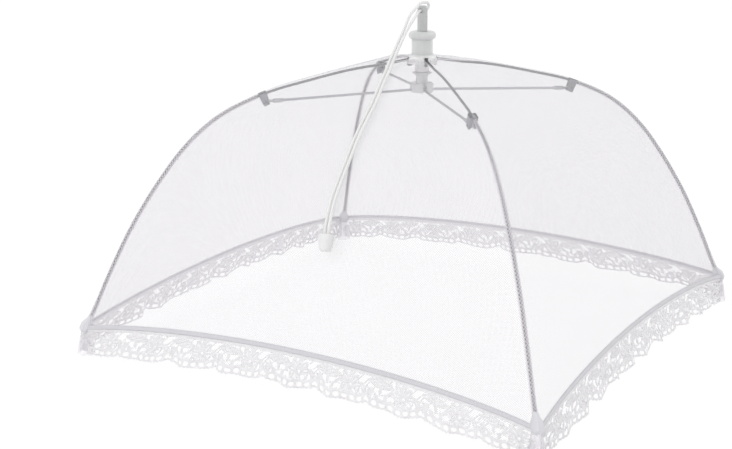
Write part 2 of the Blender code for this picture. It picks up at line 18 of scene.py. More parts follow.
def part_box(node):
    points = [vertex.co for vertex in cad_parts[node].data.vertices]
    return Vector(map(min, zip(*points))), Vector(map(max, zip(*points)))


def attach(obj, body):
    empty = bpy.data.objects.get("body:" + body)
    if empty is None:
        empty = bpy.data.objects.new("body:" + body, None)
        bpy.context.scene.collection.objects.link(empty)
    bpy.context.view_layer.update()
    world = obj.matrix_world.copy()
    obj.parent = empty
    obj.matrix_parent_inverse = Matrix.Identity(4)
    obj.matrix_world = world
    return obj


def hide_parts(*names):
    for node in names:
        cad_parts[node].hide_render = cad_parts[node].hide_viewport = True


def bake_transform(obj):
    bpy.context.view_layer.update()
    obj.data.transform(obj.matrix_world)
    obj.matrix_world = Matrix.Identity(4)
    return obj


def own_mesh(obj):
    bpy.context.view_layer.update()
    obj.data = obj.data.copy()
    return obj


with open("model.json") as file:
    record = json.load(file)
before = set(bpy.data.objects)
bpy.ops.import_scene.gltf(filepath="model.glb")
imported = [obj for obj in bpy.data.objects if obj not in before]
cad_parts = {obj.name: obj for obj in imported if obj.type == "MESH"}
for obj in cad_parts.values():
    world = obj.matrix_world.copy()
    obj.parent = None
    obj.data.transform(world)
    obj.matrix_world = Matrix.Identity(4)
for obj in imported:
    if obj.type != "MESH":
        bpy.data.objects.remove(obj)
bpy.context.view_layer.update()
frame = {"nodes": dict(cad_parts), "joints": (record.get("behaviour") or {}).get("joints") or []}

# %% [markdown]
# ## The camera
# The photograph looks down a little at one corner of the cover. A long lens from about a metre
# keeps the far side nearly as large as the near one, as in a catalogue picture. The camera is
# placed by two angles and a distance from the point that it looks at.

# %% Camera
LOOK_AT = Vector((-0.0296, -0.0180, 0.0683))
CAMERA_TURN = radians(30.73)
CAMERA_RISE = radians(15.26)
CAMERA_DISTANCE = 0.9103
LENS_MM = 70.32


def in_scene(name, data):
    """A new object that holds a mesh, a lamp or a camera."""
    obj = bpy.data.objects.new(name, data)
    bpy.context.scene.collection.objects.link(obj)
    return obj


def add_camera():
    level = cos(CAMERA_RISE)
    back = Vector((sin(CAMERA_TURN) * level, -cos(CAMERA_TURN) * level, sin(CAMERA_RISE)))
    camera = in_scene("camera", bpy.data.cameras.new("camera"))
    camera.location = LOOK_AT + back * CAMERA_DISTANCE
    camera.rotation_euler = back.to_track_quat("Z", "Y").to_euler()
    camera.data.lens = LENS_MM
    bpy.context.scene.camera = camera
    return camera


print("camera at", [round(x, 3) for x in add_camera().location])

# %% [markdown]
# ## Helpers for materials
# A node material is a small chain of sums. Each helper adds one link to that chain and gives its
# output back, so that a finish below reads like a sentence. The surface of every piece is one
# Principled shader, and only what changes over the surface reaches it through nodes.

# %% Material helpers


def add_node(tree, kind, inputs=None, **settings):
    """A new node, with its settings, and with values or other nodes' outputs on its inputs."""
    made = tree.nodes.new(kind)
    for name, value in settings.items():
        setattr(made, name, value)
    for name, value in (inputs or {}).items():
        if isinstance(value, bpy.types.NodeSocket):
            tree.links.new(value, made.inputs[name])
        else:
            made.inputs[name].default_value = value
    return made


def maths(tree, operation, first, second=0.0, third=0.5):
    inputs = {0: first, 1: second, 2: third}
    return add_node(tree, "ShaderNodeMath", inputs, operation=operation).outputs[0]


def wave(tree, value, pitch):
    """A sine with one turn to each pitch."""
    return maths(tree, "SINE", maths(tree, "MULTIPLY", value, 2 * pi / pitch))


def noise(tree, where, scale, detail=2.0):
    inputs = {"Vector": where, "Scale": scale, "Detail": detail}
    return add_node(tree, "ShaderNodeTexNoise", inputs).outputs["Fac"]


def object_place(tree, stretch=(1, 1, 1)):
    """Object coordinates, stretched along an axis for streaks."""
    place = add_node(tree, "ShaderNodeTexCoord").outputs["Object"]
    return add_node(tree, "ShaderNodeMapping", {"Vector": place, "Scale": stretch}).outputs[0]


def cut_place(tree):
    """The piece's own map, in metres across and along the flat cloth, as two outputs."""
    place = add_node(tree, "ShaderNodeUVMap", uv_map="UVMap").outputs[0]
    split = add_node(tree, "ShaderNodeSeparateXYZ", {0: place})
    return split.outputs[0], split.outputs[1]


def new_finish(name, roughness, metallic=0.0, **constants):
    """A material whose Principled shader holds the values that are the same all over."""
    made = bpy.data.materials.new(name)
    made.use_nodes = True
    shader = made.node_tree.nodes["Principled BSDF"]
    shader.inputs["Roughness"].default_value = roughness
    shader.inputs["Metallic"].default_value = metallic
    for label, value in constants.items():
        shader.inputs[label.replace("_", " ")].default_value = value
    return made, made.node_tree, shader


def shade_between(tree, shader, share, low, high):
    """Base colour from one tone to another."""
    inputs = {0: share, 6: (*low, 1), 7: (*high, 1)}
    mixed = add_node(tree, "ShaderNodeMix", inputs, data_type="RGBA")
    tree.links.new(mixed.outputs[2], shader.inputs["Base Color"])


def raise_surface(tree, shader, height, depth, strength=1.0):
    """Bump, with the real depth of the relief in metres."""
    inputs = {"Height": height, "Distance": depth, "Strength": strength}
    bump = add_node(tree, "ShaderNodeBump", inputs)
    tree.links.new(bump.outputs[0], shader.inputs["Normal"])


print("material helpers ready")

# %% [markdown]
# ## Helpers for meshes
# Two kinds of shape come back again and again here: rings skinned one after another, as in a tube,
# and a sheet that is a grid of points put in place by a formula. Each gets a UV map, on cloth in
# real metres, so that a weave keeps its scale on every piece and follows it when the cover folds.

# %% Mesh helpers


def mesh_from(name, points, faces, corner_uvs, finish):
    """A smooth mesh object whose UV map is given for each corner of each face, in order."""
    mesh = bpy.data.meshes.new(name)
    mesh.from_pydata([tuple(p) for p in points], [], [tuple(f) for f in faces])
    layer = mesh.uv_layers.new(name="UVMap")
    layer.data.foreach_set("uv", np.asarray(corner_uvs, np.float32).ravel())
    mesh.shade_smooth()
    mesh.materials.append(finish)
    return in_scene(name, mesh)


def smooth_line(points):
    """Points of a Catmull-Rom curve through the given ones."""
    points = [Vector(p) for p in points]
    ends = [2 * points[0] - points[1], *points, 2 * points[-1] - points[-2]]
    line = []
    for a, b, c, d in zip(ends, ends[1:], ends[2:], ends[3:]):
        for i in range(SPAN_POINTS):
            t = i / SPAN_POINTS
            bend = (2 * a - 5 * b + 4 * c - d) * t**2 + (3 * b - a - 3 * c + d) * t**3
            line.append((2 * b + (c - a) * t + bend) / 2)
    return line + [points[-1]]


def lengths_of(line):
    steps = np.linalg.norm(np.diff(np.array(line), axis=0), axis=1)
    return np.concatenate([[0.0], np.cumsum(steps)])


def evenly(line, count):
    """The same line with that many points, spaced evenly."""
    line = np.array(line)
    lengths = lengths_of(line)
    at = np.linspace(0, lengths[-1], count)
    return [Vector([np.interp(x, lengths, line[:, k]) for k in range(3)]) for x in at]


def face_outwards(obj):
    """Turns the faces of a mesh outwards."""
    bm = bmesh.new()
    bm.from_mesh(obj.data)
    bmesh.ops.recalc_face_normals(bm, faces=bm.faces)
    bm.to_mesh(obj.data)
    bm.free()


def skin(name, rings, along, finish, girth=1.0, capped=True):
    """Faces from ring to ring. The map runs to girth round a ring, and by along down the rings."""
    rings = np.array(rings)
    count, sides = rings.shape[:2]
    faces, uvs = [], []
    for i, (low, high) in enumerate(zip(along, along[1:])):
        for j in range(sides):
            near, far, k = i * sides, (i + 1) * sides, (j + 1) % sides
            faces.append((near + j, near + k, far + k, far + j))
            left, right = girth * j / sides, girth * (j + 1) / sides
            uvs += [(left, low), (right, low), (right, high), (left, high)]
    caps = (range(sides)[::-1], range((count - 1) * sides, count * sides))
    for cap in caps if capped else ():
        faces.append(tuple(cap))
        uvs += [(0, 0)] * sides
    made = mesh_from(name, rings.reshape(-1, 3), faces, uvs, finish)
    face_outwards(made)
    return made


def tube(name, line, radii, finish, girth=1.0):
    """A closed tube along a line, with a radius for each of its points."""
    tangents = [(b - a).normalized() for a, b in zip(line, line[1:])]
    across = tangents[0].orthogonal().normalized()
    turns = [2 * pi * j / TUBE_SIDES for j in range(TUBE_SIDES)]
    rings = []
    for place, ahead, radius in zip(line, [*tangents, tangents[-1]], radii):
        across = (across - ahead * across.dot(ahead)).normalized()
        beside = ahead.cross(across)
        rings.append([place + (across * cos(a) + beside * sin(a)) * radius for a in turns])
    return skin(name, rings, lengths_of(line), finish, girth)


def quads_of(columns, rows):
    """Faces of a grid whose points run row by row."""
    i, j = np.meshgrid(np.arange(columns - 1), np.arange(rows - 1))
    first = (j * columns + i).ravel()
    return np.stack([first, first + 1, first + columns + 1, first + columns], axis=1)


SPAN_POINTS = 12  # of a smooth line, to each given point
TUBE_SIDES = 14
print("mesh helpers ready, tubes have", TUBE_SIDES, "sides")

# %% [markdown]
# ## The shape under the cloth
# Each rib is the same bowed line, drawn in its own upright plane. The net lies just outside it,
# and between two ribs it is pulled straight, so one formula places any point of the cloth: how
# far down it lies, and how far it is from one rib to the next. Net, hem and lace all use it.

# %% Shape of the ribs and the cloth
SIDE = 0.300
CROWN_RISE = 0.156
CLOTH_OFFSET = 0.0025
LACE_WIDTH = 0.0185
LACE_FLARE = radians(17)
HEM_ARCH = 0.0115
HEM_WIDTH = 0.0030
HEM_THICKNESS = 0.0009
CORNER_DROOP = 0.0024
CROWN_ROUND = 0.045
GAP = 0.0003
SIDES = 4
RIB_OUTLINE_SHARES = (
    (0.053, 1.000), (0.200, 0.980), (0.350, 0.938), (0.460, 0.900), (0.570, 0.838),
    (0.645, 0.770), (0.710, 0.684), (0.762, 0.594), (0.813, 0.494), (0.868, 0.370),
    (0.928, 0.208), (0.968, 0.088), (1.000, 0.000),
)  # fmt: skip
TIP_RADIUS = SIDE / sqrt(2)
OUTLINE = [(r * TIP_RADIUS, h * CROWN_RISE, 0) for r, h in RIB_OUTLINE_SHARES]
RIB_LINE = np.array(smooth_line(OUTLINE))[:, :2]


def offset_line(line, distance):
    """A line in a rib's plane moved out from it, square to it."""
    along = np.gradient(line, axis=0)
    along /= np.linalg.norm(along, axis=1)[:, None]
    return line + np.stack([-along[:, 1], along[:, 0]], axis=1) * distance


NET_LINE = offset_line(RIB_LINE, CLOTH_OFFSET)
TIP_LIFT = LACE_WIDTH * cos(LACE_FLARE) + GAP - NET_LINE[-1, 1]
RIB_LINE[:, 1] += TIP_LIFT
NET_LINE[:, 1] += TIP_LIFT
NET_LENGTHS = lengths_of(NET_LINE)
NET_LENGTH = NET_LENGTHS[-1]
SKIRT_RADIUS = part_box("top_hub")[1].x
NET_START = SKIRT_RADIUS + GAP - NET_LINE[0, 0]


def rib_angle(k):
    return radians(45) + (k - 1) * 2 * pi / SIDES


def in_rib_plane(point, angle):
    return Vector((point[0] * cos(angle), point[0] * sin(angle), point[1]))


def on_net_line(along):
    """Reach and height of the net's line at a distance down it, straight on past either end."""
    i = np.clip(np.searchsorted(NET_LENGTHS, along), 1, len(NET_LENGTHS) - 1)
    share = (along - NET_LENGTHS[i - 1]) / (NET_LENGTHS[i] - NET_LENGTHS[i - 1])
    point = NET_LINE[i - 1] + (NET_LINE[i] - NET_LINE[i - 1]) * share[..., None]
    return point[..., 0], point[..., 1]


def half_width(along):
    """Half the width of a gore at a distance down the net's line."""
    return on_net_line(along)[0] / sqrt(2)


def gore(along, fraction):
    """Points of the -Y side: a distance down the net's line, and a fraction from rib to rib."""
    along, fraction = np.broadcast_arrays(along, fraction)
    reach, height = on_net_line(along)
    half = reach / sqrt(2)
    fraction = fraction * (1 - GAP * sqrt(2) / half)
    turn = fraction * radians(45)
    flat = np.clip((reach - NET_LINE[0, 0]) / (CROWN_ROUND - NET_LINE[0, 0]), 0, 1)
    x = reach * np.sin(turn) * (1 - flat) + fraction * half * flat
    y = -reach * np.cos(turn) * (1 - flat) - half * flat
    return np.stack([x, y, height], axis=-1)


def gore_outward(along, fraction):
    """Unit vectors square to the cloth, pointing out."""
    step = GAP
    down = gore(along + step, fraction) - gore(along - step, fraction)
    across = gore(along, fraction + step) - gore(along, fraction - step)
    out = np.cross(down, across)
    return out / np.linalg.norm(out, axis=-1, keepdims=True)


def hem_length(fraction):
    """Distance down the net's line of its edge. It arches up between ribs and droops at one."""
    return NET_LENGTH - HEM_ARCH * (1 - fraction**2) + CORNER_DROOP * fraction**6


def turned(points, side):
    """Points of the -Y side turned to side 1, 2, 3 or 4."""
    turn = Matrix.Rotation((side - 1) * 2 * pi / SIDES, 3, "Z")
    return points @ np.array(turn).T


print(f"net {NET_LENGTH * 1000:.1f} mm down a rib, tips {TIP_LIFT * 1000:.1f} mm over the table")

# %% [markdown]
# ## Half sides
# When the cover folds, the ribs swing down and the cloth between them stays slack. Each side is
# cut in two halves at its middle, and each half is sewn to its own rib along the seam.

# %% Helpers for half sides
HALVES = {"left": -1, "right": 1}


def fractions_of(half, count):
    """Evenly spaced fractions over a half side, from its left end to its right."""
    share = np.linspace(0, 1, count)
    return share if half == "right" else share - 1


def cloth(name, side, points, flat, finish, faces):
    """A sheet made for the -Y side and turned to its own. Its map is its flat cut."""
    flat = np.stack(np.broadcast_arrays(*flat), axis=-1).reshape(-1, 2)
    return mesh_from(name, turned(points.reshape(-1, 3), side), faces, flat[faces], finish)


def half_names():
    return [(side, half) for side in range(1, SIDES + 1) for half in HALVES]


def rib_of(side, half):
    """The number and the direction of the rib that a half side of cloth is sewn to."""
    number = (side + (2 if half == "right" else 1)) % SIDES + 1
    return number, rib_angle(number)


def follow_fold(piece):
    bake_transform(piece)


print("half sides and their ribs", {f"{s}_{h}": rib_of(s, h)[0] for s, h in half_names()})

# %% [markdown]
# ## The pull cord
# One limp white cord runs from the knob up over the net, through the eye of the post, over its
# top and back down to the knob. It is pulled to open the cover. It could be a curve, but a tube
# with its own map carries the braid's slant, and a mesh can shorten as the knob is drawn in.

# %% Pull cord
CORD_RADIUS = 0.0009
CORD_SPREAD = 0.00115  # of each strand, from their middle line
CORD_RINGS = 420
CORD_ROUTE = (
    (0.0124, -0.1319, 0.0902), (0.0117, -0.1303, 0.0941), (0.0104, -0.1271, 0.0988),
    (0.0092, -0.1227, 0.1042), (0.0086, -0.1176, 0.1122), (0.0096, -0.1128, 0.1210),
    (0.0108, -0.1061, 0.1316), (0.0112, -0.0980, 0.1420), (0.0111, -0.0870, 0.1520),
    (0.0094, -0.0750, 0.1592), (0.0060, -0.0629, 0.1648), (0.0018, -0.0505, 0.1689),
    (-0.0020, -0.0390, 0.1724), (-0.0040, -0.0325, 0.1754), (-0.0050, -0.0265, 0.1794),
    (-0.0050, -0.0205, 0.1855), (-0.0038, -0.0150, 0.1932),
)  # fmt: skip
CORD_LOOP = (
    (0.0000, -0.0095, 0.2010), (0.0002, -0.0055, 0.2038), (0.0000, -0.0020, 0.2042),
    (0.0000, 0.0020, 0.2042), (0.0002, 0.0053, 0.2044), (0.0004, 0.0071, 0.2058),
    (0.0004, 0.0062, 0.2078), (0.0002, 0.0038, 0.2086), (0.0000, 0.0000, 0.2088),
    (0.0000, -0.0032, 0.2085), (-0.0006, -0.0062, 0.2066), (-0.0028, -0.0105, 0.2022),
)  # fmt: skip
BRAID_PITCH = 0.0022
STRANDS = 4


def braid_finish():
    """White braid: two sets of strands that cross on a slant."""
    made, tree, shader = new_finish("white_braid", 0.75, Sheen_Weight=0.15)
    around, along = cut_place(tree)
    turns = maths(tree, "MULTIPLY", around, STRANDS)
    pitches = maths(tree, "MULTIPLY", along, 1 / BRAID_PITCH)
    strands = [wave(tree, maths(tree, way, turns, pitches), 1) for way in ("ADD", "SUBTRACT")]
    woven = maths(tree, "MAXIMUM", *strands)
    shade = maths(tree, "MULTIPLY_ADD", woven, 0.5)
    shade_between(tree, shader, shade, (0.66, 0.67, 0.67), (0.88, 0.88, 0.87))
    raise_surface(tree, shader, woven, 0.00012)
    return made


def pull_cord():
    side = Vector((CORD_SPREAD, 0, 0))
    up = [Vector(p) + side for p in CORD_ROUTE]
    down = [Vector(p) - side for p in reversed(CORD_ROUTE)]
    line = evenly(smooth_line([*up, *CORD_LOOP, *down]), CORD_RINGS)
    return tube("braided_pull_cord", line, [CORD_RADIUS] * CORD_RINGS, braid_finish()), line


cord, cord_line = pull_cord()
cord_length = lengths_of(cord_line)[-1]
print(f"cord {cord_length * 1000:.0f} mm long, {len(cord.data.polygons)} faces")

# %% [markdown]
# ## How the cord rides
# The cord stays with the hub. As the cover folds, the knob is drawn up the net and the cord runs
# in through the post. Here the cord rides on the hub, and the share of its reach that it keeps at
# the knob's full travel is worked out.

# %% Cord rides


def joint(name):
    return next(entry for entry in frame["joints"] if entry["name"] == name)


SLIDE = joint("knob_slide")
CORD_ANCHOR = Vector((0, -0.009, 0.191))


def stand_for(piece, node, body):
    """Puts a piece on the body that it rides on, and hides the node that it stands for."""
    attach(piece, body)
    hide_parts(node)


def declare_cord():
    stand_for(cord, "pull_cord", "top_hub")
    axis = Vector(SLIDE["axis"])
    reach = abs((cord_line[0] - CORD_ANCHOR).dot(axis))
    keep = 1 - max(SLIDE["range_m"]) / reach
    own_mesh(cord)
    return keep


print("knob travel", SLIDE["range_m"])

# %% [markdown]
# ## Rigid pieces from the frame
# The frame's solids are loose triangles, so light would show each one. A copy with its corners
# joined, flat faces merged and round faces shaded smooth has the same shape, so nothing that moves
# can come to touch. The finish does the rest: milky plastic, cloudy, and painted paler from where
# the skirt and sleeve begin down, a painted light that stands in for light through the thin walls.

# %% Copies of the rigid pieces
JOINED = 1e-6
FLAT_WITHIN = radians(0.5)
SHARP_EDGE = radians(32)


def rigid_copy(node, body, finish, name):
    """A piece with a node's own shape, joined and smooth, that stands for it."""
    bm = bmesh.new()
    bm.from_mesh(frame["nodes"][node].data)
    bmesh.ops.remove_doubles(bm, verts=bm.verts, dist=JOINED)
    bmesh.ops.dissolve_limit(bm, angle_limit=FLAT_WITHIN, verts=bm.verts, edges=bm.edges)
    mesh = bpy.data.meshes.new(name)
    bm.to_mesh(mesh)
    bm.free()
    mesh.materials.clear()
    mesh.materials.append(finish)
    mesh.shade_smooth()
    mesh.set_sharp_from_angle(angle=SHARP_EDGE)
    obj = in_scene(name, mesh)
    stand_for(obj, node, body)
    return obj


# Below this height the plastic is painted paler: painted light for light through the thin walls,
# lifting the shade under the net.
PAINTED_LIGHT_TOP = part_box("top_hub")[1].z - 0.0145  # where the skirt and the sleeve begin
PAINTED_LIGHT_BLEND = 0.001
PAINTED_LIGHT_STRENGTH = 0.75


def milky_finish(name, tone, clear):
    """Milky polypropylene: half clear, cloudy, with flow marks, and painted light low down, where
    walls are thin.
    """
    made, tree, shader = new_finish(
        name, 0.30, Transmission_Weight=clear, IOR=1.45,
        Subsurface_Weight=0.25, Subsurface_Scale=0.002, Subsurface_Radius=(1, 1, 1),
    )  # fmt: skip
    cloud = noise(tree, object_place(tree, (1, 1, 0.12)), 420, 3)
    height = add_node(tree, "ShaderNodeSeparateXYZ", {0: object_place(tree)}).outputs[2]
    low, high = PAINTED_LIGHT_TOP - PAINTED_LIGHT_BLEND, PAINTED_LIGHT_TOP + PAINTED_LIGHT_BLEND
    limits = {"Value": height, 1: low, 2: high, 3: PAINTED_LIGHT_STRENGTH, 4: 0.0}
    lower_painted_light = add_node(tree, "ShaderNodeMapRange", limits).outputs[0]
    pale = maths(tree, "MULTIPLY_ADD", cloud, 0.6, lower_painted_light)
    shade_between(tree, shader, pale, [tone * x for x in (0.84, 0.85, 0.85)], [tone * 1.13] * 3)
    fine = noise(tree, object_place(tree), 1400)
    raise_surface(tree, shader, fine, 0.00002, 0.5)
    return made


MILKY_HUB = milky_finish("milky_hub", 0.86, 0.28)
MILKY_POST = milky_finish("milky_post", 0.64, 0.25)
MILKY_KNOB = milky_finish("milky_knob", 0.72, 0.10)
hub = rigid_copy("top_hub", "top_hub", MILKY_HUB, "flanged_hub")
rigid_copy("plunger", "plunger", MILKY_POST, "post_and_runner")
knob = rigid_copy("pull_knob", "pull_knob", MILKY_KNOB, "cord_knob")
print("cord keeps", round(declare_cord(), 3), "of its reach; hub faces", len(hub.data.polygons))

# %% [markdown]
# ## Steel wire
# Ribs, stretchers and rings are drawn steel wire with a dull zinc skin: grey, a little rough,
# streaked along the drawing direction and spotted where the skin is thin. The ribs and rivets have a
# dark copy of this steel and the rings and stretchers a light one, a painted reflection of the white
# round them. The rings, stretchers and rivets keep the frame's shape. The clips are grey nylon, and
# their copies are drawn in a little. The bowed ribs are made again below, because a long bend shows
# every corner of a wire.

# %% Wire finish and the small wire pieces


def steel_finish(name, low, high):
    made, tree, shader = new_finish(name, 0.36, metallic=1.0)
    spots = noise(tree, object_place(tree), 900, 4)
    tones = [[level * x for x in (0.98, 1, 1.04)] for level in (low, high)]
    shade_between(tree, shader, spots, *tones)
    streaks = noise(tree, object_place(tree, (1, 1, 6)), 500, 2)
    rough = add_node(tree, "ShaderNodeMapRange", {"Value": streaks, 3: 0.28, 4: 0.5}).outputs[0]
    tree.links.new(rough, shader.inputs["Roughness"])
    raise_surface(tree, shader, spots, 0.00003)
    return made


def clip_finish():
    """Grey nylon, a little cloudy, with the fine grain of a small mould."""
    made, tree, shader = new_finish(
        "grey_nylon", 0.48,
        Subsurface_Weight=0.1, Subsurface_Scale=0.001, Subsurface_Radius=(1, 1, 1),
    )  # fmt: skip
    cloud = noise(tree, object_place(tree), 700, 3)
    shade_between(tree, shader, cloud, (0.13, 0.135, 0.14), (0.24, 0.245, 0.26))
    raise_surface(tree, shader, noise(tree, object_place(tree), 2600), 0.00003)
    return made


CLIP_RADIUS = 0.1001  # of a clip's place on its rib, from the cover's middle
CLIP_KEPT = 0.0014  # round the pin, where the clip keeps its shape
CLIP_END_SHARE = 0.55  # of what lies past that, along the rib and below the pin
CLIP_FOOT_TAPER = 0.22


def slim_clip(clip, k):
    """Draws the ends and the foot of a clip in round its pin, which leaves its bores alone."""
    pin = Vector(joint(f"stretcher_{k}_hinge")["pos_m"])
    i = int(np.argmin(np.abs(RIB_LINE[:, 0] - CLIP_RADIUS)))
    on_rib, next_on_rib = (in_rib_plane(RIB_LINE[j], rib_angle(k)) for j in (i, i + 1))
    along = (next_on_rib - on_rib).normalized()
    down = pin - on_rib
    down = (down - along * down.dot(along)).normalized()
    for vertex in clip.data.vertices:
        u, v = ((vertex.co - pin).dot(way) for way in (along, down))
        past_u, past_v = max(0, abs(u) - CLIP_KEPT), max(0, v - CLIP_KEPT)
        taper = CLIP_FOOT_TAPER * past_v / CLIP_KEPT * abs(u)
        drawn = past_u * (1 - CLIP_END_SHARE) + taper
        vertex.co += along * (-drawn if u > 0 else drawn) - down * past_v * (1 - CLIP_END_SHARE)


# Two tones of one steel: the lighter copy is a painted reflection of the white round the wires.
STEEL = steel_finish("drawn_steel", 0.05, 0.21)
STEEL_PAINTED_REFLECTION = steel_finish("steel_painted_reflection", 0.26, 0.58)
NYLON = clip_finish()
# The pivot ring's lighter tone also paints light into the hub's dark slot round it.
rigid_copy("hub_ring", "top_hub", STEEL_PAINTED_REFLECTION, "rib_pivot_ring")
rigid_copy("runner_ring", "plunger", STEEL_PAINTED_REFLECTION, "stretcher_ring")
for k in range(1, SIDES + 1):
    rigid_copy(f"stretcher_{k}", f"stretcher_{k}", STEEL_PAINTED_REFLECTION, f"stretcher_wire_{k}")
    rigid_copy(f"clip_pin_{k}", f"rib_{k}", STEEL, f"clip_rivet_{k}")
    slim_clip(rigid_copy(f"clip_{k}", f"rib_{k}", NYLON, f"rib_clip_{k}"), k)
print("small rigid pieces", 2 + 3 * SIDES)

# %% [markdown]
# ## Ribs by Geometry Nodes
# A rib is one line with one thickness, which is what a node tree does well: it takes the line,
# sweeps a circle along it and closes the ends. The radius and the number of sides are named
# inputs, so one tree makes every rib. The result is kept as a plain mesh.

# %% Wire tree and ribs


def node_tree(name, inputs):
    """A tree with named inputs, their identifiers, its input sockets, and its line as a curve."""
    tree = bpy.data.node_groups.new(name, "GeometryNodeTree")
    face = tree.interface
    face.new_socket("Geometry", in_out="INPUT", socket_type="NodeSocketGeometry")
    face.new_socket("Geometry", in_out="OUTPUT", socket_type="NodeSocketGeometry")
    ids = {}
    for label, kind in inputs.items():
        socket = face.new_socket(label, in_out="INPUT", socket_type=kind)
        ids[label] = socket.identifier
    given = tree.nodes.new("NodeGroupInput").outputs
    curve = add_node(tree, "GeometryNodeMeshToCurve", {0: given["Geometry"]}).outputs[0]
    return tree, ids, given, curve


def end_tree(tree, shape, finish):
    """The end of a tree: real geometry, with its material."""
    real = add_node(tree, "GeometryNodeRealizeInstances", {0: shape.outputs[0]})
    inputs = {"Geometry": real.outputs[0], "Material": finish}
    finished = add_node(tree, "GeometryNodeSetMaterial", inputs)
    add_node(tree, "NodeGroupOutput", {0: finished.outputs[0]})


def wire_tree():
    """Sweeps a circle along a line of edges."""
    inputs = {"Radius": "NodeSocketFloat", "Sides": "NodeSocketInt", "Finish": "NodeSocketMaterial"}
    tree, ids, given, curve = node_tree("swept_wire", inputs)
    inputs = {"Resolution": given["Sides"], "Radius": given["Radius"]}
    circle = add_node(tree, "GeometryNodeCurvePrimitiveCircle", inputs, mode="RADIUS")
    inputs = {"Curve": curve, "Profile Curve": circle.outputs[0], "Fill Caps": True}
    end_tree(tree, add_node(tree, "GeometryNodeCurveToMesh", inputs), given["Finish"])
    return tree, ids


def grown(name, line, tree, ids, values):
    """The plain mesh that a tree makes on a line of points."""
    mesh = bpy.data.meshes.new(name + "_line")
    mesh.from_pydata([tuple(p) for p in line], [(i, i + 1) for i in range(len(line) - 1)], [])
    obj = in_scene(name, mesh)
    modifier = obj.modifiers.new("grow", "NODES")
    modifier.node_group = tree
    for label, value in values.items():
        modifier[ids[label]] = value
    evaluated = obj.evaluated_get(bpy.context.evaluated_depsgraph_get())
    made = bpy.data.meshes.new_from_object(evaluated)
    obj.modifiers.clear()
    obj.data = made
    made.shade_smooth()
    return obj


WIRE_RADIUS = 0.0008
WIRE_SIDES = 12
RIB_EYE_RADIUS = 0.0019
EYE_START = radians(-50)
EYE_STEP = radians(-10)
EYE_POINTS = 28
PIVOT = Vector((0.008, TIP_LIFT + CROWN_RISE))
BOW = RIB_LINE[6:]
WIRE_TREE, WIRE_IDS = wire_tree()


def rib_wire(k):
    """Rib: an open eye round the hub's ring, then the bow down to the corner."""
    angle = rib_angle(k)
    turns = [EYE_START + EYE_STEP * i for i in range(EYE_POINTS)]
    eye = [PIVOT + RIB_EYE_RADIUS * Vector((cos(a), sin(a))) for a in turns]
    line = [in_rib_plane(p, angle) for p in [*eye, *BOW]]
    values = {"Radius": WIRE_RADIUS, "Sides": WIRE_SIDES, "Finish": STEEL}
    rib = grown(f"rib_wire_{k}", line, WIRE_TREE, WIRE_IDS, values)
    stand_for(rib, f"rib_{k}", f"rib_{k}")
    return rib


ribs = [rib_wire(k) for k in range(1, SIDES + 1)]
print("rib faces", [len(rib.data.polygons) for rib in ribs])

# %% [markdown]
# ## The net
# The gores are cut from a fine warp-knitted net whose threads cross on a slant, with a small knot
# at each crossing. Real threads would be hundreds of thousands of faces, so the threads are drawn
# on the cut's own map, and the holes between them let light and everything behind through.
# The cloth itself is real: each half side is one curved sheet, with slack folds between the ribs.

# %% Net finish and gores
NET_PITCH = 0.0011
NET_THREAD = 0.0002
NET_SLACK = 0.0007  # of the folds between two ribs
HUB_SLACK = 0.0006  # of the small folds at the hub
RIB_DIP = 0.0009  # how far the net is drawn in over a rib
RIB_DIP_WIDTH = 0.006
NET_COLUMNS = 60
NET_ROWS = 140


def lattice(tree, pitch, width):
    """Slanting threads, 1 on a thread and 0 in a hole, from the piece's map."""
    across, along = cut_place(tree)
    threads = []
    for way in ("ADD", "SUBTRACT"):
        slant = maths(tree, "MULTIPLY", maths(tree, way, across, along), 1 / pitch)
        centred = maths(tree, "SUBTRACT", maths(tree, "FRACT", slant), 0.5)
        threads.append(maths(tree, "SUBTRACT", 0.5, maths(tree, "ABSOLUTE", centred)))
    nearest = maths(tree, "MINIMUM", *threads)
    knot = maths(tree, "MULTIPLY", maths(tree, "ADD", *threads), 0.5)
    line = maths(tree, "LESS_THAN", nearest, width / pitch / 2)
    dot = maths(tree, "LESS_THAN", knot, width / pitch)
    return maths(tree, "MAXIMUM", line, dot)


def net_finish(name, tone, pitch, width, low, high):
    """See-through net. low and high are how much the holes and the threads cover."""
    made, tree, shader = new_finish(name, 0.8, Sheen_Weight=0.2)
    weave = lattice(tree, pitch, width)
    cover = add_node(tree, "ShaderNodeMapRange", {"Value": weave, 3: low, 4: high}).outputs[0]
    tree.links.new(cover, shader.inputs["Alpha"])
    uneven = noise(tree, object_place(tree), 35, 2)
    tones = [[share * tone * x for x in (0.99, 0.96, 1.01)] for share in (0.92, 1.0)]
    shade_between(tree, shader, uneven, *tones)
    raise_surface(tree, shader, weave, 0.00008, 0.6)
    return made


NET = net_finish("slanted_net", 0.80, NET_PITCH, NET_THREAD, 0.27, 0.46)


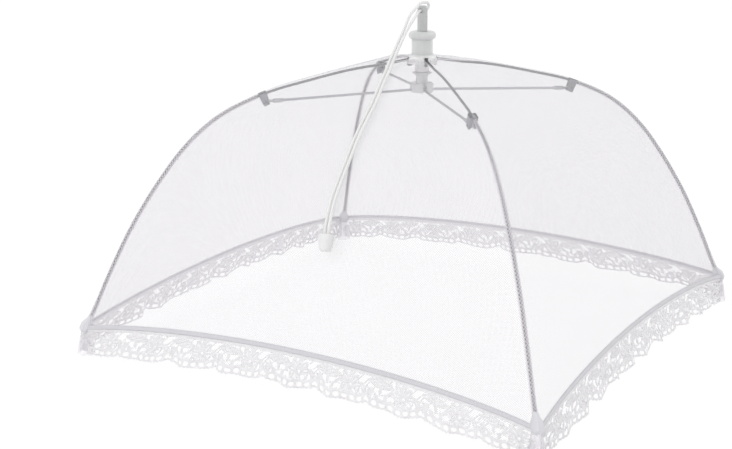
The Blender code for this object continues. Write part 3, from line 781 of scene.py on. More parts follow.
def net_half(side, half):
    """Half a gore, from the hub's skirt to the hem, with its flat cut as its map."""
    fraction = fractions_of(half, NET_COLUMNS)[None, :]
    down = np.linspace(0, 1, NET_ROWS)[:, None]
    along = NET_START + (hem_length(fraction) - HEM_WIDTH / 2 - NET_START) * down
    slack = NET_SLACK * (1 - fraction**8) * np.sin(pi * down) ** 0.5
    folds = 0.5 + 0.5 * np.sin(2 * pi * (fraction * 3 + 1.5 * down) + side)
    near_hub = HUB_SLACK * np.exp(-down * 9) * (0.5 + 0.5 * np.cos(10 * pi * fraction))
    width = half_width(along)
    from_rib = (1 - np.abs(fraction)) * width
    dip = RIB_DIP * np.exp(-((from_rib / RIB_DIP_WIDTH) ** 2)) * np.clip((1 - down) * 12, 0, 1)
    inwards = slack * folds + near_hub + dip
    points = gore(along, fraction) - gore_outward(along, fraction) * inwards[..., None]
    faces = quads_of(NET_COLUMNS, NET_ROWS)[:, ::-1]
    net = cloth(f"net_{side}_{half}", side, points, (fraction * width, along), NET, faces)
    seam = 0 if half == "left" else -1
    return net, float(np.trapz(width[:, seam], along[:, seam]))


nets = {key: net_half(*key) for key in half_names()}
print("half gores", len(nets), "of", round(nets[1, "left"][1] * 1e4, 1), "square centimetres")

# %% [markdown]
# ## The rib sleeves
# From the clip down, each rib runs in a tunnel of folded net, which is why the steel there looks
# speckled. The tunnel is a slim tube of tighter net round the wire, drawn in at every stitch. On
# both sides of it the folded seam allowance lies inside the cover as a second layer of net.

# %% Rib sleeves and seams
SLEEVE_RADIUS = 0.00135
SLEEVE_RINGS = 240
SLEEVE_STITCH = 0.0030
SLEEVE_PULL = 0.10  # share of the radius that a stitch draws in
SEAM_WIDTH = 0.0032
SEAM_INSIDE = 0.0013
SEAM_START_SHARE = 0.46  # of the net's length
SEAM_COLUMNS = 6
SEAM_ROWS = 120
SLEEVE_NET = net_finish("tunnel_net", 0.76, 0.0021, 0.00040, 0.04, 0.74)


def sleeve_line(k):
    """The rib's line inside the box that the frame gives its sleeve."""
    low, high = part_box(f"rib_sleeve_{k}")
    angle = rib_angle(k)
    inside = [p for p in BOW if low.z + SLEEVE_RADIUS < p[1] < high.z - SLEEVE_RADIUS / 2]
    return evenly([in_rib_plane(p, angle) for p in inside], SLEEVE_RINGS)


def rib_sleeve(k):
    line = sleeve_line(k)
    pulls = 0.5 + 0.5 * np.cos(2 * pi * lengths_of(line) / SLEEVE_STITCH)
    radii = SLEEVE_RADIUS * (1 - SLEEVE_PULL * pulls)
    sleeve = tube(f"rib_tunnel_{k}", line, radii, SLEEVE_NET, girth=2 * pi * SLEEVE_RADIUS)
    stand_for(sleeve, f"rib_sleeve_{k}", f"rib_{k}")
    return sleeve


def seam_strip(side, half):
    """A second layer of net inside the cover, along one side of a rib."""
    start, end = NET_LENGTH * SEAM_START_SHARE, NET_LENGTH - HEM_WIDTH
    along = np.linspace(start, end, SEAM_ROWS)[:, None]
    width = half_width(along)
    inwards = np.linspace(0, SEAM_WIDTH, SEAM_COLUMNS)[None, :]
    fraction = HALVES[half] * (1 - inwards / width)
    points = gore(along, fraction) - gore_outward(along, fraction) * SEAM_INSIDE
    faces = quads_of(SEAM_COLUMNS, SEAM_ROWS)
    strip = cloth(f"seam_{side}_{half}", side, points, (fraction * width, along), NET, faces)
    follow_fold(strip)
    return strip


sleeves = [rib_sleeve(k) for k in range(1, SIDES + 1)]
seams = {key: seam_strip(*key) for key in half_names()}
print("sleeves", len(sleeves), "seam strips", len(seams))

# %% [markdown]
# ## The hem tape
# The net's edge is folded into a narrow woven tape. Its section is a flattened loop with full
# edges, and the stitches draw it in at a steady pitch, so it looks gently quilted.

# %% Hem tape
HEM_COLUMNS = 190
HEM_SECTION = 14
HEM_FLATNESS = 0.7  # 1 for a round section, less for a flatter one
STITCH_PITCH = 0.0024
STITCH_PULL = 0.16  # share of the tape's fullness that a stitch draws in
WEAVE_RELIEF = 0.00006


def plain_weave(name, sheen, pitches, contrast, low, high):
    """Cloth whose two sets of threads cross square on, each with its own pitch."""
    made, tree, shader = new_finish(name, 0.85, Sheen_Weight=sheen)
    sets = [wave(tree, way, pitch) for way, pitch in zip(cut_place(tree), pitches)]
    woven = maths(tree, "MULTIPLY", *sets)
    shade_between(tree, shader, maths(tree, "MULTIPLY_ADD", woven, contrast), low, high)
    raise_surface(tree, shader, woven, WEAVE_RELIEF)
    return made


TAPE_TONES = (0.56, 0.55, 0.58), (0.70, 0.69, 0.72)  # pale grey with a lavender cast
TAPE = plain_weave("woven_tape", 0.25, (0.00045, 0.00055), 0.35, *TAPE_TONES)


def hem_half(side, half):
    fraction = fractions_of(half, HEM_COLUMNS)[:, None]
    turn = np.linspace(0, 2 * pi, HEM_SECTION, endpoint=False)[None, :]
    from_middle = fraction * SIDE / 2
    pulls = 0.5 + 0.5 * np.cos(2 * pi * from_middle / STITCH_PITCH)
    flattened = np.sign(np.cos(turn)) * np.abs(np.cos(turn)) ** HEM_FLATNESS
    along = hem_length(fraction) + HEM_WIDTH / 2 * (flattened - 1)
    out = HEM_THICKNESS / 2 * (1 + (1 - STITCH_PULL * pulls) * np.sin(turn))
    points = gore(along, fraction) + gore_outward(along, fraction) * out[..., None]
    rings = turned(points, side)
    return skin(f"hem_tape_{side}_{half}", rings, from_middle[:, 0], TAPE, girth=2 * HEM_WIDTH)


hems = {key: hem_half(*key) for key in half_names()}
print("hem faces", len(hems[1, "left"].data.polygons), "each")

# %% [markdown]
# ## Stitches by Geometry Nodes
# A lockstitch is a row of short thread dashes. The tree walks along a line, sets a small rounded
# dash every pitch and turns it to the line's direction. It is real thread, standing a little
# proud of the tape, so it also casts its own small shadow.

# %% Stitches


def stitch_tree():
    inputs = {
        "Pitch": "NodeSocketFloat", "Length": "NodeSocketFloat",
        "Thickness": "NodeSocketFloat", "Finish": "NodeSocketMaterial",
    }  # fmt: skip
    tree, ids, given, curve = node_tree("stitch_row", inputs)
    inputs = {0: curve, "Length": given["Pitch"]}
    places = add_node(tree, "GeometryNodeCurveToPoints", inputs, mode="LENGTH").outputs
    inputs = {"Vector": places["Tangent"]}
    facing = add_node(tree, "FunctionNodeAlignRotationToVector", inputs, axis="X")
    ball = add_node(tree, "GeometryNodeMeshUVSphere", {"Segments": 6, "Rings": 5, "Radius": 1.0})
    inputs = {0: given["Length"], 1: given["Thickness"], 2: given["Thickness"]}
    size = add_node(tree, "ShaderNodeCombineXYZ", inputs)
    inputs = {
        "Points": places[0], "Instance": ball.outputs[0],
        "Rotation": facing.outputs[0], "Scale": size.outputs[0],
    }  # fmt: skip
    end_tree(tree, add_node(tree, "GeometryNodeInstanceOnPoints", inputs), given["Finish"])
    return tree, ids


def thread_finish():
    made, tree, shader = new_finish("sewing_thread", 0.7, Sheen_Weight=0.3)
    twist = noise(tree, object_place(tree), 2200, 2)
    shade_between(tree, shader, twist, (0.64, 0.64, 0.67), (0.78, 0.78, 0.80))
    raise_surface(tree, shader, twist, 0.00005)
    return made


STITCH_TREE, STITCH_IDS = stitch_tree()
THREAD = thread_finish()
STITCH = {"Pitch": STITCH_PITCH, "Length": 0.00085, "Thickness": 0.00017, "Finish": THREAD}
STITCH_ENDS = (0.01, 0.985)  # as fractions of a half side
STITCH_LINE_POINTS = 160
STITCH_UP = HEM_WIDTH * 0.72  # from the tape's edge
STITCH_OUT = HEM_THICKNESS * 0.98


def hem_stitches(side, half):
    fraction = HALVES[half] * np.linspace(*STITCH_ENDS, STITCH_LINE_POINTS)
    along = hem_length(fraction) - STITCH_UP
    line = gore(along, fraction) + gore_outward(along, fraction) * STITCH_OUT
    return grown(f"hem_stitches_{side}_{half}", turned(line, side), STITCH_TREE, STITCH_IDS, STITCH)


stitches = {key: hem_stitches(*key) for key in half_names()}
print("stitch faces", len(stitches[1, "left"].data.polygons), "a half side")

# %% [markdown]
# ## The lace
# The edge is a bought lace with a repeat of 33 mm. A long dotted leaf lies under the heading, with
# a flower beside it whose lower half is a fan of rays. Below the leaf is an open space with a spray
# of small leaves, then a wavy band, a row of oval eyelets and a scalloped foot. The look of lace is
# its holes, so they are cut for real: a formula says how deep inside the thread a point lies, and
# it is negative in a hole.

# %% Lace pattern
CELL = 0.00031
MM = 0.001
SCALLOPS = 9
REPEAT = SIDE / SCALLOPS
LACE_NOTCH = 0.0034
LACE_TUCK = 0.0007  # of the heading, up under the tape
BAND_ABOVE_FOOT = 4.5  # mm, as all the sizes below
EYE_RADIUS = 1.2
EYE_EDGE = 1.1  # where petals and rays begin
FAN_RADIUS = 5.6
RAY_STEP = radians(17)
GROUND_PITCH = 5.2
HALF_THREAD = {"eye": 0.36, "ray": 0.25, "rim": 0.42, "twig": 0.26, "stem": 0.24, "ground": 0.18}
SLIT_HALF_WIDTH = 0.36
SLIT_SHARE = 0.6  # of its leaf's length
HEADING_WIDTH = 1.5
HEADING_HOLES = 16  # to a repeat
HEADING_HOLE_DEPTH = 0.95
HEADING_HOLE_RADIUS = 0.36
DOT_PITCHES = (1.32, 1.15)
DOT_RADIUS = 0.42
LEAF_EDGE = 0.5
BAND_WAVE = (0.35, 8.3)  # height and length
BAND_SWELL = (-6.0, 0.6, 4.4)  # where it is thickest, by how much, and how far along
SPRAY_LEVEL = 10.1
SPRAY_WAVE = (0.8, 2.1)
SPRAY_REACH = (-7.2, 9.4)  # its middle and half its length
EYELETS = 7  # to a repeat
EYELET_HALF_WIDTH = 1.75
EYELET_MARGIN = 0.75
FOOT_EDGE = 0.4
PICOT = 0.2
FLOWER = (6.0, 8.6)
PETALS = ((-78, 1.5, 3.3), (-38, 1.9, 3.6), (2, 1.7, 3.2), (40, 1.8, 3.4), (78, 1.5, 3.2))
LONG_LEAF = ((-8.2, 4.3), 2.6, 8.6, -83)  # middle, half width, half length and lean
OPEN_SPACE = ((-7.0, 10.4), 3.4, 7.4, -90)
SIDE_LEAVES = (
    ((-14.6, 10.2), 1.5, 3.4, 28), ((14.4, 9.2), 1.5, 3.6, -24), ((1.2, 11.4), 1.1, 2.7, 48),
)  # fmt: skip
TWIGS = (((-16.7, 6.4), (-13.2, 13.4)), ((16.7, 6.4), (13.0, 12.9)))
SPRAY = ((-13.8, 8.5, -56), (-11.0, 11.5, -22), (-8.4, 8.3, 4), (-5.4, 11.5, 26), (-2.6, 8.7, 50))


def leaf(x, y, centre, wide, long, lean):
    """How far inside a leaf a point lies, in mm. Lean turns its length away from straight down."""
    lean = radians(lean)
    u = (x - centre[0]) * cos(lean) + (y - centre[1]) * sin(lean)
    v = -(x - centre[0]) * sin(lean) + (y - centre[1]) * cos(lean)
    swell = wide * (1 - (v / long) ** 2)
    return np.where(np.abs(v) < long, swell - np.abs(u), -np.abs(v))


def slit_leaf(x, y, centre, wide, long, lean):
    """A leaf with a slit along its middle."""
    slit = leaf(x, y, centre, SLIT_HALF_WIDTH, long * SLIT_SHARE, lean)
    return np.minimum(leaf(x, y, centre, wide, long, lean), -slit)


def bar(x, y, start, end, half):
    """How far inside a round-ended bar a point lies."""
    along, down = end[0] - start[0], end[1] - start[1]
    share = ((x - start[0]) * along + (y - start[1]) * down) / (along**2 + down**2)
    share = np.clip(share, 0, 1)
    return half - np.hypot(x - start[0] - share * along, y - start[1] - share * down)


def zigzag(value, step):
    """Distance to the nearest whole step."""
    return np.abs((value / step + 0.5) % 1.0 - 0.5) * step


def lace_foot(x):
    """Depth of the scalloped edge in mm, for a place in the repeat."""
    from_notch = np.clip(1 - 2 * np.abs(x) * MM / REPEAT, 0, 1)
    notch = LACE_NOTCH * (1 - np.sqrt(1 - (1 - from_notch) ** 2))
    return (LACE_WIDTH - notch) / MM


def motif(x, y, run):
    """Depth inside the thread for one repeat, x from its middle and y below the hem, in mm."""
    foot = lace_foot(x)
    from_eye = np.hypot(x - FLOWER[0], y - FLOWER[1])
    turn = np.arctan2(x - FLOWER[0], y - FLOWER[1])
    # flower: petals above, and a fan of rays below, round one small eye
    shapes = [HALF_THREAD["eye"] - np.abs(from_eye - EYE_RADIUS)]
    for lean, wide, long in PETALS:
        reach = long + EYE_EDGE
        centre = (FLOWER[0] + reach * sin(radians(lean)), FLOWER[1] - reach * cos(radians(lean)))
        shapes.append(slit_leaf(x, y, centre, wide, long, 180 + lean))
    in_fan = (np.abs(turn) < radians(80)) & (from_eye < FAN_RADIUS) & (from_eye > EYE_EDGE)
    ray = HALF_THREAD["ray"] - from_eye * np.sin(zigzag(turn, RAY_STEP))
    rim = HALF_THREAD["rim"] - np.abs(from_eye - FAN_RADIUS)
    shapes.append(np.where(in_fan, ray, -1.0))
    shapes.append(np.where(np.abs(turn) < radians(88), rim, -1.0))
    # long dotted leaf under the heading, left of the flower
    long_leaf = leaf(x, y, *LONG_LEAF)
    across, below = x + 0.55 * y, y - LONG_LEAF[0][1] - 0.1 * x
    dots = np.hypot(zigzag(across, DOT_PITCHES[0]), zigzag(below, DOT_PITCHES[1])) - DOT_RADIUS
    shapes.append(np.minimum(long_leaf, np.maximum(dots, LEAF_EDGE - long_leaf)))
    # three small leaves with a slit, and a twig at each end of the repeat
    shapes += [slit_leaf(x, y, *small) for small in SIDE_LEAVES]
    shapes += [bar(x, y, *twig, HALF_THREAD["twig"]) for twig in TWIGS]
    # wavy band under the open space, thick below it
    band_line = foot - BAND_ABOVE_FOOT + BAND_WAVE[0] * np.sin(2 * pi * x / BAND_WAVE[1])
    thickest, swell, spread = BAND_SWELL
    band_half = HALF_THREAD["rim"] + swell * np.exp(-(((x - thickest) / spread) ** 2))
    shapes.append(band_half - np.abs(y - band_line))
    # spray: small leaves on a wavy stem across the open space
    off_stem = np.abs(y - SPRAY_LEVEL - SPRAY_WAVE[0] * np.sin(x / SPRAY_WAVE[1]))
    on_spray = np.abs(x - SPRAY_REACH[0]) < SPRAY_REACH[1]
    shapes.append(np.where(on_spray, HALF_THREAD["stem"] - off_stem, -1.0))
    shapes += [leaf(x, y, (across, below), 1.0, 2.2, lean) for across, below, lean in SPRAY]
    # row of oval holes above the foot
    middle = (band_line + foot - FOOT_EDGE) / 2
    tall = np.maximum((foot - FOOT_EDGE - band_line) / 2 - EYELET_MARGIN, 0.2)
    step = REPEAT / MM / EYELETS
    holes = np.hypot(zigzag(x - step / 2, step) / EYELET_HALF_WIDTH, (y - middle) / tall) - 1
    shapes.append(np.minimum(np.minimum(y - band_line, foot - y), holes))
    # sparse slanting threads in what is left round the flower
    nearest = np.minimum(zigzag(x + y, GROUND_PITCH), zigzag(x - y, GROUND_PITCH))
    threads = HALF_THREAD["ground"] - nearest / sqrt(2)
    open_space = leaf(x, y, *OPEN_SPACE)
    bare = (open_space > 0) | in_fan | (long_leaf > 0) | (y > band_line) | (from_eye < EYE_RADIUS)
    shapes.append(np.where(bare, -1.0, threads))
    picot = foot - PICOT + PICOT * np.cos(2 * pi * run / (step / 2))
    return np.minimum(np.maximum.reduce(shapes), picot - y)


def in_repeat(s):
    """Place in the repeat in mm, from its middle, for a place along the strip."""
    return ((s / REPEAT + 0.5 * (SCALLOPS % 2)) % 1.0 - 0.5) * REPEAT / MM


def thread_depth(s, depth):
    """How far inside the lace's thread a point lies, s along the strip and depth below the hem."""
    run, y = s / MM, depth / MM
    from_hole = np.hypot(zigzag(run, REPEAT / MM / HEADING_HOLES), y - HEADING_HOLE_DEPTH)
    heading = np.minimum(HEADING_WIDTH - y, from_hole - HEADING_HOLE_RADIUS)
    return np.maximum(heading, motif(in_repeat(s), y, run)) * MM


S_TEST, D_TEST = np.meshgrid(np.linspace(-REPEAT, REPEAT, 400), np.linspace(0, LACE_WIDTH, 110))
print("thread covers", round(float((thread_depth(S_TEST, D_TEST) > 0).mean()), 2), "of the lace")

# %% [markdown]
# ## Cutting and hanging the lace
# Grid points near an edge of the pattern are moved onto it before the empty cells are dropped, so
# the holes come out round and not stepped. Then the strip is hung from the hem, flared outwards,
# and thrown into soft ruffles that grow towards its foot.

# %% Lace sheets
RUFFLE_DEPTHS = (0.0013, 0.0017, 0.0018, 0.0020)  # by side
GATHER_REACH = 0.016  # how far from a corner the lace is gathered
GATHER_DEPTH = 0.0011
GATHER_PITCH = 0.0062
GATHER_UPRIGHT_SHARE = 0.95  # of the flare, which is lost at a corner
RUFFLE_LENGTHS = (0.0235, 0.0142)
RUFFLE_SWAY_SHARE = 0.35
CORNER_SHORTENING = CORNER_DROOP + 0.0008
LACE_THICKNESS = 0.00024


def lace_finish():
    """Soft cotton thread: fine twist in the relief, and a tone that drifts a little."""
    made, tree, shader = new_finish(
        "lace_thread", 0.8, Sheen_Weight=0.3,
        Subsurface_Weight=0.4, Subsurface_Scale=0.001, Subsurface_Radius=(1, 1, 1),
    )  # fmt: skip
    across, along = cut_place(tree)
    twist = wave(tree, maths(tree, "ADD", across, along), 0.0005)
    weft = wave(tree, maths(tree, "SUBTRACT", across, along), 0.0007)
    drift = noise(tree, object_place(tree), 420, 4)
    shade_between(tree, shader, drift, (0.81, 0.79, 0.82), (0.99, 0.97, 0.995))
    raise_surface(tree, shader, maths(tree, "ADD", twist, weft), 0.00005)
    return made


def keep_largest(kept):
    """The largest connected patch of kept cells. Each patch takes its highest cell's number."""
    label = np.arange(1, kept.size + 1).reshape(kept.shape) * kept
    while True:
        wide = np.pad(label, 1)
        beside = (wide[2:, 1:-1], wide[:-2, 1:-1], wide[1:-1, 2:], wide[1:-1, :-2])
        spread = np.maximum.reduce([label, *beside]) * kept
        if (spread == label).all():
            return label == np.bincount(label[kept]).argmax()
        label = spread


EDGE_BAND = CELL * 0.6  # how near an edge a point is moved onto it
EDGE_MOVE = CELL * 0.42  # the furthest that it is moved
LEAST_STEEP = 0.2


def cut_lace(half):
    """Flat cut of half a side: its points as (along, depth), and its kept cells."""
    along = np.linspace(0, SIDE / 2, int(SIDE / 2 / CELL))
    rows = int((LACE_WIDTH + LACE_TUCK) / CELL)
    along = along if half == "right" else -along[::-1]
    s, depth = np.meshgrid(along, np.linspace(-LACE_TUCK, LACE_WIDTH, rows))
    value = thread_depth(s, depth)
    step = CELL / 4
    slope_s = (thread_depth(s + step, depth) - thread_depth(s - step, depth)) / (2 * step)
    slope_d = (thread_depth(s, depth + step) - thread_depth(s, depth - step)) / (2 * step)
    steep = np.maximum(slope_s**2 + slope_d**2, LEAST_STEEP)
    near = np.abs(value) < EDGE_BAND
    near[[0, -1], :] = near[:, [0, -1]] = False
    s = s + np.where(near, np.clip(-value * slope_s / steep, -EDGE_MOVE, EDGE_MOVE), 0)
    depth = depth + np.where(near, np.clip(-value * slope_d / steep, -EDGE_MOVE, EDGE_MOVE), 0)
    centre_s, centre_d = ((grid[:-1, :-1] + grid[1:, 1:]) / 2 for grid in (s, depth))
    return s, depth, keep_largest(thread_depth(centre_s, centre_d) > 0)


LACE_CUTS = {half: cut_lace(half) for half in HALVES}
LACE = lace_finish()


def hang_lace(s, depth, side):
    """Lace points hung from the hem of a side: flared, ruffled, and gathered at the corners."""
    fraction = np.clip(s / (SIDE / 2), -1, 1)
    top = gore(hem_length(fraction), fraction)
    low = GAP + LACE_WIDTH
    shortened = 1 - CORNER_SHORTENING * fraction**6 / (low * cos(LACE_FLARE))
    down = (GAP + depth) * shortened
    share = np.clip(depth / LACE_WIDTH, 0, 1)
    free = share**1.4 * (1 - fraction**6)
    gathered = np.exp(-(((1 - np.abs(fraction)) * SIDE / 2 / GATHER_REACH) ** 2))
    long, short = (2 * pi * s / length for length in RUFFLE_LENGTHS)
    ruffle = np.sin(long + side) + 0.45 * np.sin(short + 2.1 * side)
    pleats = np.cos(2 * pi * (1 - np.abs(fraction)) * SIDE / 2 / GATHER_PITCH)
    flare = sin(LACE_FLARE) * (1 - GATHER_UPRIGHT_SHARE * gathered)
    out = down * flare + RUFFLE_DEPTHS[side - 1] * free * ruffle
    out += gathered * share**1.2 * GATHER_DEPTH * pleats
    spread = 1 + out / -top[..., 1]
    sway = RUFFLE_SWAY_SHARE * RUFFLE_DEPTHS[side - 1] * free * np.cos(long + side)
    x = top[..., 0] * spread + sway
    return np.stack([x, top[..., 1] - out, top[..., 2] - down * cos(LACE_FLARE)], axis=-1)


def lace_half(side, half):
    s, depth, kept = LACE_CUTS[half]
    points = hang_lace(s, depth, side).reshape(-1, 3)
    faces = quads_of(s.shape[1], s.shape[0])[kept.ravel()]
    used, index = np.unique(faces, return_inverse=True)
    faces = index.reshape(-1, 4)[:, ::-1]
    flat = (s.ravel()[used], depth.ravel()[used])
    lace = cloth(f"lace_{side}_{half}", side, points[used], flat, LACE, faces)
    wall = lace.modifiers.new("thread", "SOLIDIFY")
    wall.thickness = LACE_THICKNESS
    wall.offset = 1
    return lace, len(faces) * CELL**2


laces = {key: lace_half(*key) for key in half_names()}
print("lace cells", [len(lace.data.polygons) for lace, _ in laces.values()])

# %% [markdown]
# ## The tulle under the lace
# The thick thread of such lace is worked on a fine tulle, which is what makes it look sheer and
# not like crochet. The tulle is a plain sheet in the middle of the thread, hung by the same rule.
# It ends at the wavy band, so the eyelets below it stay open.

# %% Lace ground
GROUND_COLUMNS = 300
GROUND_ROWS = 24
TULLE = net_finish("lace_tulle", 0.95, 0.0011, 0.00020, 0.07, 0.42)


def ground_half(side, half):
    along = fractions_of(half, GROUND_COLUMNS) * SIDE / 2
    foot = (lace_foot(in_repeat(along)) - BAND_ABOVE_FOOT) * MM
    down = np.linspace(0, 1, GROUND_ROWS)[:, None]
    s, depth = np.broadcast_arrays(along, down * (foot + LACE_TUCK) - LACE_TUCK)
    points = hang_lace(s, depth, side) - np.array((0, LACE_THICKNESS / 2, 0))
    faces = quads_of(GROUND_COLUMNS, GROUND_ROWS)[:, ::-1]
    return cloth(f"lace_ground_{side}_{half}", side, points, (s, depth), TULLE, faces)


grounds = {key: ground_half(*key) for key in half_names()}
print("lace grounds", len(grounds))

# %% [markdown]
# ## The gathered corners
# At each foot the tape of two sides is folded round the rib's tip and sewn into a small pocket,
# and the lace is drawn together under it. The pocket is a soft pouch that grows out of the rib's
# tunnel, so its neck is as slim as the tunnel. Under it the gathered ends of the lace fall in
# pleats to the table. Both are lofted ring by ring from a formula for one ring.

# %% Corner pockets
PLEATS = 7
POUCH_RINGS = 34
POUCH_SIDES = 72
POUCH_ABOVE_TIP = 0.0085
POUCH_BELOW_TIP = 0.0030
POUCH_REACH = 0.0037
POUCH_NECK_SHARE = 0.42
POUCH_OUT = 0.0003  # of its middle line, outwards from the rib
POUCH_FULL_AT = 0.62  # share of its length, from the neck
POUCH_SQUARENESS = 1.6  # 2 for a round section, less for one with four soft corners
FALL_PLEATS = 6
FALL_TOP_RADIUS = 0.0024
FALL_FOOT_RADIUS = 0.0046
FALL_PLEAT_DEPTH = 0.0009
FALL_OUT = 0.0008  # of its foot, outwards from the tip
FALL_SLANT = 1.05  # its length along a pleat, over its height
FALL_SIDES = 144
FALL_RINGS = 32
POCKET_PITCHES = (1 / 44, 0.0005)  # the first is one slow wave round the pouch
POCKET_TONES = (0.58, 0.58, 0.61), (0.72, 0.72, 0.75)  # bluish grey
POCKET = plain_weave("pocket_weave", 0.2, POCKET_PITCHES, 0.3, *POCKET_TONES)
FALL_NET = net_finish("gathered_tulle", 0.95, 0.0011, 0.00026, 0.24, 0.56)


def pouch_reach(share, turn):
    """Radius of the pouch, at a share of its length from neck to foot."""
    rise = min(1.0, share / POUCH_FULL_AT)
    swell = POUCH_NECK_SHARE + (1 - POUCH_NECK_SHARE) * rise * rise * (3 - 2 * rise)
    swell *= sqrt(min(1.0, (1 - share) * 6 + 0.2))
    power = POUCH_SQUARENESS
    soft_square = (np.abs(np.cos(turn)) ** power + np.abs(np.sin(turn)) ** power) ** (-1 / power)
    pleat = 1 + 0.06 * sin(pi * share) * np.cos(PLEATS * turn + 1.5 * share)
    return POUCH_REACH * swell * soft_square * pleat


def fall_reach(share, turn):
    """Radius of the gathered ends of the lace, at a share of the way from pocket to table."""
    radius = FALL_TOP_RADIUS + (FALL_FOOT_RADIUS - FALL_TOP_RADIUS) * share**0.8
    drift = 0.7 * sin(3 * share) + 0.35 * np.sin(2 * turn)
    return radius + FALL_PLEAT_DEPTH * share**0.6 * np.cos(FALL_PLEATS * turn + drift)


def loft(name, rings, sides, middle, reach, length, finish, capped=True):
    """Rings round a middle line, skinned. middle(share) gives a centre and two directions."""
    turn = np.linspace(0, 2 * pi, sides, endpoint=False)
    shares = np.linspace(0, 1, rings)
    lofted = []
    for share in shares:
        centre, out, across = middle(share)
        ways = [out * cos(angle) + across * sin(angle) for angle in turn]
        lofted.append([centre + way * far for way, far in zip(ways, reach(share, turn))])
    girth = 2 * pi * float(reach(1.0, turn).mean())
    return skin(name, lofted, shares * length, finish, girth, capped)


def corner_directions(k):
    """The rib's tip, its direction there, the way out from the rib, and the way across it."""
    angle = rib_angle(k)
    tip = in_rib_plane(RIB_LINE[-1], angle)
    along = (tip - in_rib_plane(RIB_LINE[-8], angle)).normalized()
    across = Vector((-sin(angle), cos(angle), 0))
    out = across.cross(along).normalized()
    return tip, along, out if out.dot(tip) > 0 else -out, across


def corner_pocket(k):
    """A pleated pouch in the space of the frame's pocket, along the rib's last stretch."""
    tip, along, out, across = corner_directions(k)
    length = POUCH_ABOVE_TIP + POUCH_BELOW_TIP

    def middle(share):
        return tip + along * (share * length - POUCH_ABOVE_TIP) + out * POUCH_OUT, out, across

    name = f"pocket_pouch_{k}"
    pouch = loft(name, POUCH_RINGS, POUCH_SIDES, middle, pouch_reach, length, POCKET)
    stand_for(pouch, f"corner_pocket_{k}", f"rib_{k}")
    return pouch


def corner_fall(k):
    """The gathered ends of two strips of lace, in pleats from the pocket down to the table."""
    tip, _, _, across = corner_directions(k)
    level_out = Vector((tip.x, tip.y, 0)).normalized()
    length = tip.z - 2 * GAP

    def middle(share):
        return tip + level_out * FALL_OUT * share - Vector((0, 0, share * length)), level_out, across

    name = f"lace_gather_{k}"
    fall = loft(name, FALL_RINGS, FALL_SIDES, middle, fall_reach, length, FALL_NET, capped=False)
    turn = np.linspace(0, 2 * pi, FALL_SIDES + 1)
    foot = fall_reach(1.0, turn)
    edge = float(np.hypot(np.diff(foot * np.cos(turn)), np.diff(foot * np.sin(turn))).sum())
    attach(fall, f"rib_{k}")
    flat = (edge, length * FALL_SLANT)
    return fall, flat


pouches = [corner_pocket(k) for k in range(1, SIDES + 1)]
falls = [corner_fall(k) for k in range(1, SIDES + 1)]
print("pouches", len(pouches), "and gathers", len(falls), "flat", [round(x, 4) for x in falls[0][1]])

# %% [markdown]
# ## The frame's cloth put away
# The net, hem, stitches, lace and tulle of each half side have their placing made part of their
# meshes, and the frame's own net, hem and lace are hidden. Each net half and each lace half is a
# sheet that was cut flat.

for (side, half), (net, area) in nets.items():
    hem, row, seam = hems[side, half], stitches[side, half], seams[side, half]
    lace, cut_area = laces[side, half]
    ground = grounds[side, half]
    for piece, node, slot in (
        (net, f"net_{side}", "net"), (hem, f"hem_{side}", "hem_tape"),
        (lace, f"lace_{side}", "lace"), (ground, None, "lace"), (row, None, "hem_tape"),
    ):  # fmt: skip
        follow_fold(piece)
        if node:
            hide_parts(node)

# %% [markdown]
# ## Floor and light
# A catalogue picture of a pale thing on white needs light from all round, so the sky is a plain
# pale one. A large soft lamp from the upper left gives the shapes their side, and two weaker ones
# at the right and behind keep the far cloth clear. The white behind comes from what the camera
# sees of the sky and the floor, never from more light on the cover.

# %% Stage
SKY_LIGHT = 0.89
FLOOR_SIZE = 3.0
FLOOR_GLOW = 1.05
FLOOR_GLOW_SHARE = 0.84
LAMPS = (
    ("soft_key", (-0.9, -1.0, 1.3), 0.9, 6.5),
    ("soft_fill", (0.7, -1.3, 0.5), 0.9, 2.6),
    ("soft_back", (0.8, 1.1, 1.0), 0.8, 4),
)  # name, place, size in metres and watts


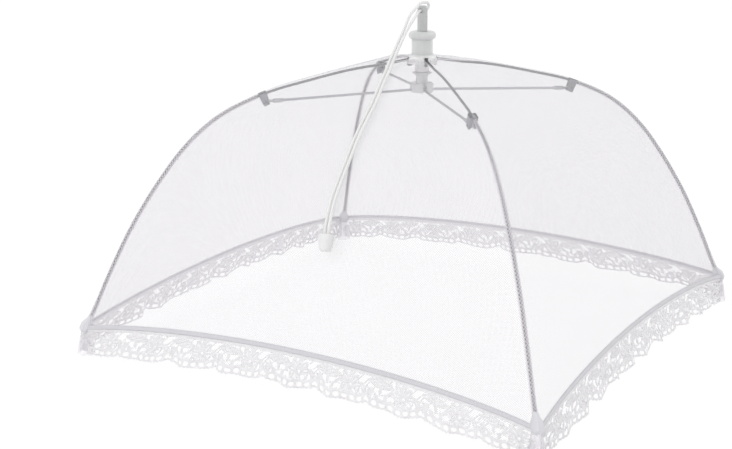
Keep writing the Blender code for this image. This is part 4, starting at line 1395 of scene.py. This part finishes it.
def seen_directly(tree):
    """1 for rays from the camera, a mirror or clear plastic, and 0 for light on a surface."""
    path = add_node(tree, "ShaderNodeLightPath")
    seen = maths(tree, "MAXIMUM", path.outputs["Is Camera Ray"], path.outputs["Is Glossy Ray"])
    return maths(tree, "MAXIMUM", seen, path.outputs["Is Transmission Ray"])


def floor_finish():
    """A matt pale floor that shows nearly white, whatever light falls on it."""
    made, tree, shader = new_finish("pale_floor", 0.9)
    grain = noise(tree, object_place(tree), 3, 2)
    shade_between(tree, shader, grain, (0.86, 0.86, 0.87), (0.88, 0.88, 0.88))
    glow = add_node(tree, "ShaderNodeEmission", {"Strength": FLOOR_GLOW})
    share = maths(tree, "MULTIPLY", seen_directly(tree), FLOOR_GLOW_SHARE)
    mix = {0: share, 1: shader.outputs[0], 2: glow.outputs[0]}
    mixed = add_node(tree, "ShaderNodeMixShader", mix)
    tree.links.new(mixed.outputs[0], tree.nodes["Material Output"].inputs[0])
    return made


def add_floor():
    bm = bmesh.new()
    bmesh.ops.create_grid(bm, x_segments=2, y_segments=2, size=FLOOR_SIZE)
    mesh = bpy.data.meshes.new("floor")
    bm.to_mesh(mesh)
    bm.free()
    mesh.transform(Matrix.Translation((0, 0, -GAP)))
    mesh.materials.append(floor_finish())
    in_scene("floor", mesh)


def add_sky(strength):
    world = bpy.data.worlds.new("studio")
    bpy.context.scene.world = world
    world.use_nodes = True
    tree = world.node_tree
    sky = tree.nodes["Background"]
    sky.inputs["Color"].default_value = (1, 1, 1, 1)
    level = add_node(tree, "ShaderNodeMapRange", {"Value": seen_directly(tree), 3: strength, 4: 1.0})
    tree.links.new(level.outputs[0], sky.inputs["Strength"])


def add_lamp(name, place, size, power):
    data = bpy.data.lights.new(name, "AREA")
    data.size = size
    data.energy = power
    lamp = in_scene(name, data)
    lamp.location = place
    lamp.rotation_euler = (Vector(place) - LOOK_AT).to_track_quat("Z", "Y").to_euler()


add_floor()
add_sky(SKY_LIGHT)
for lamp in LAMPS:
    add_lamp(*lamp)
bpy.context.scene.view_settings.view_transform = "Standard"
print("lamps", [name for name, *_ in LAMPS])
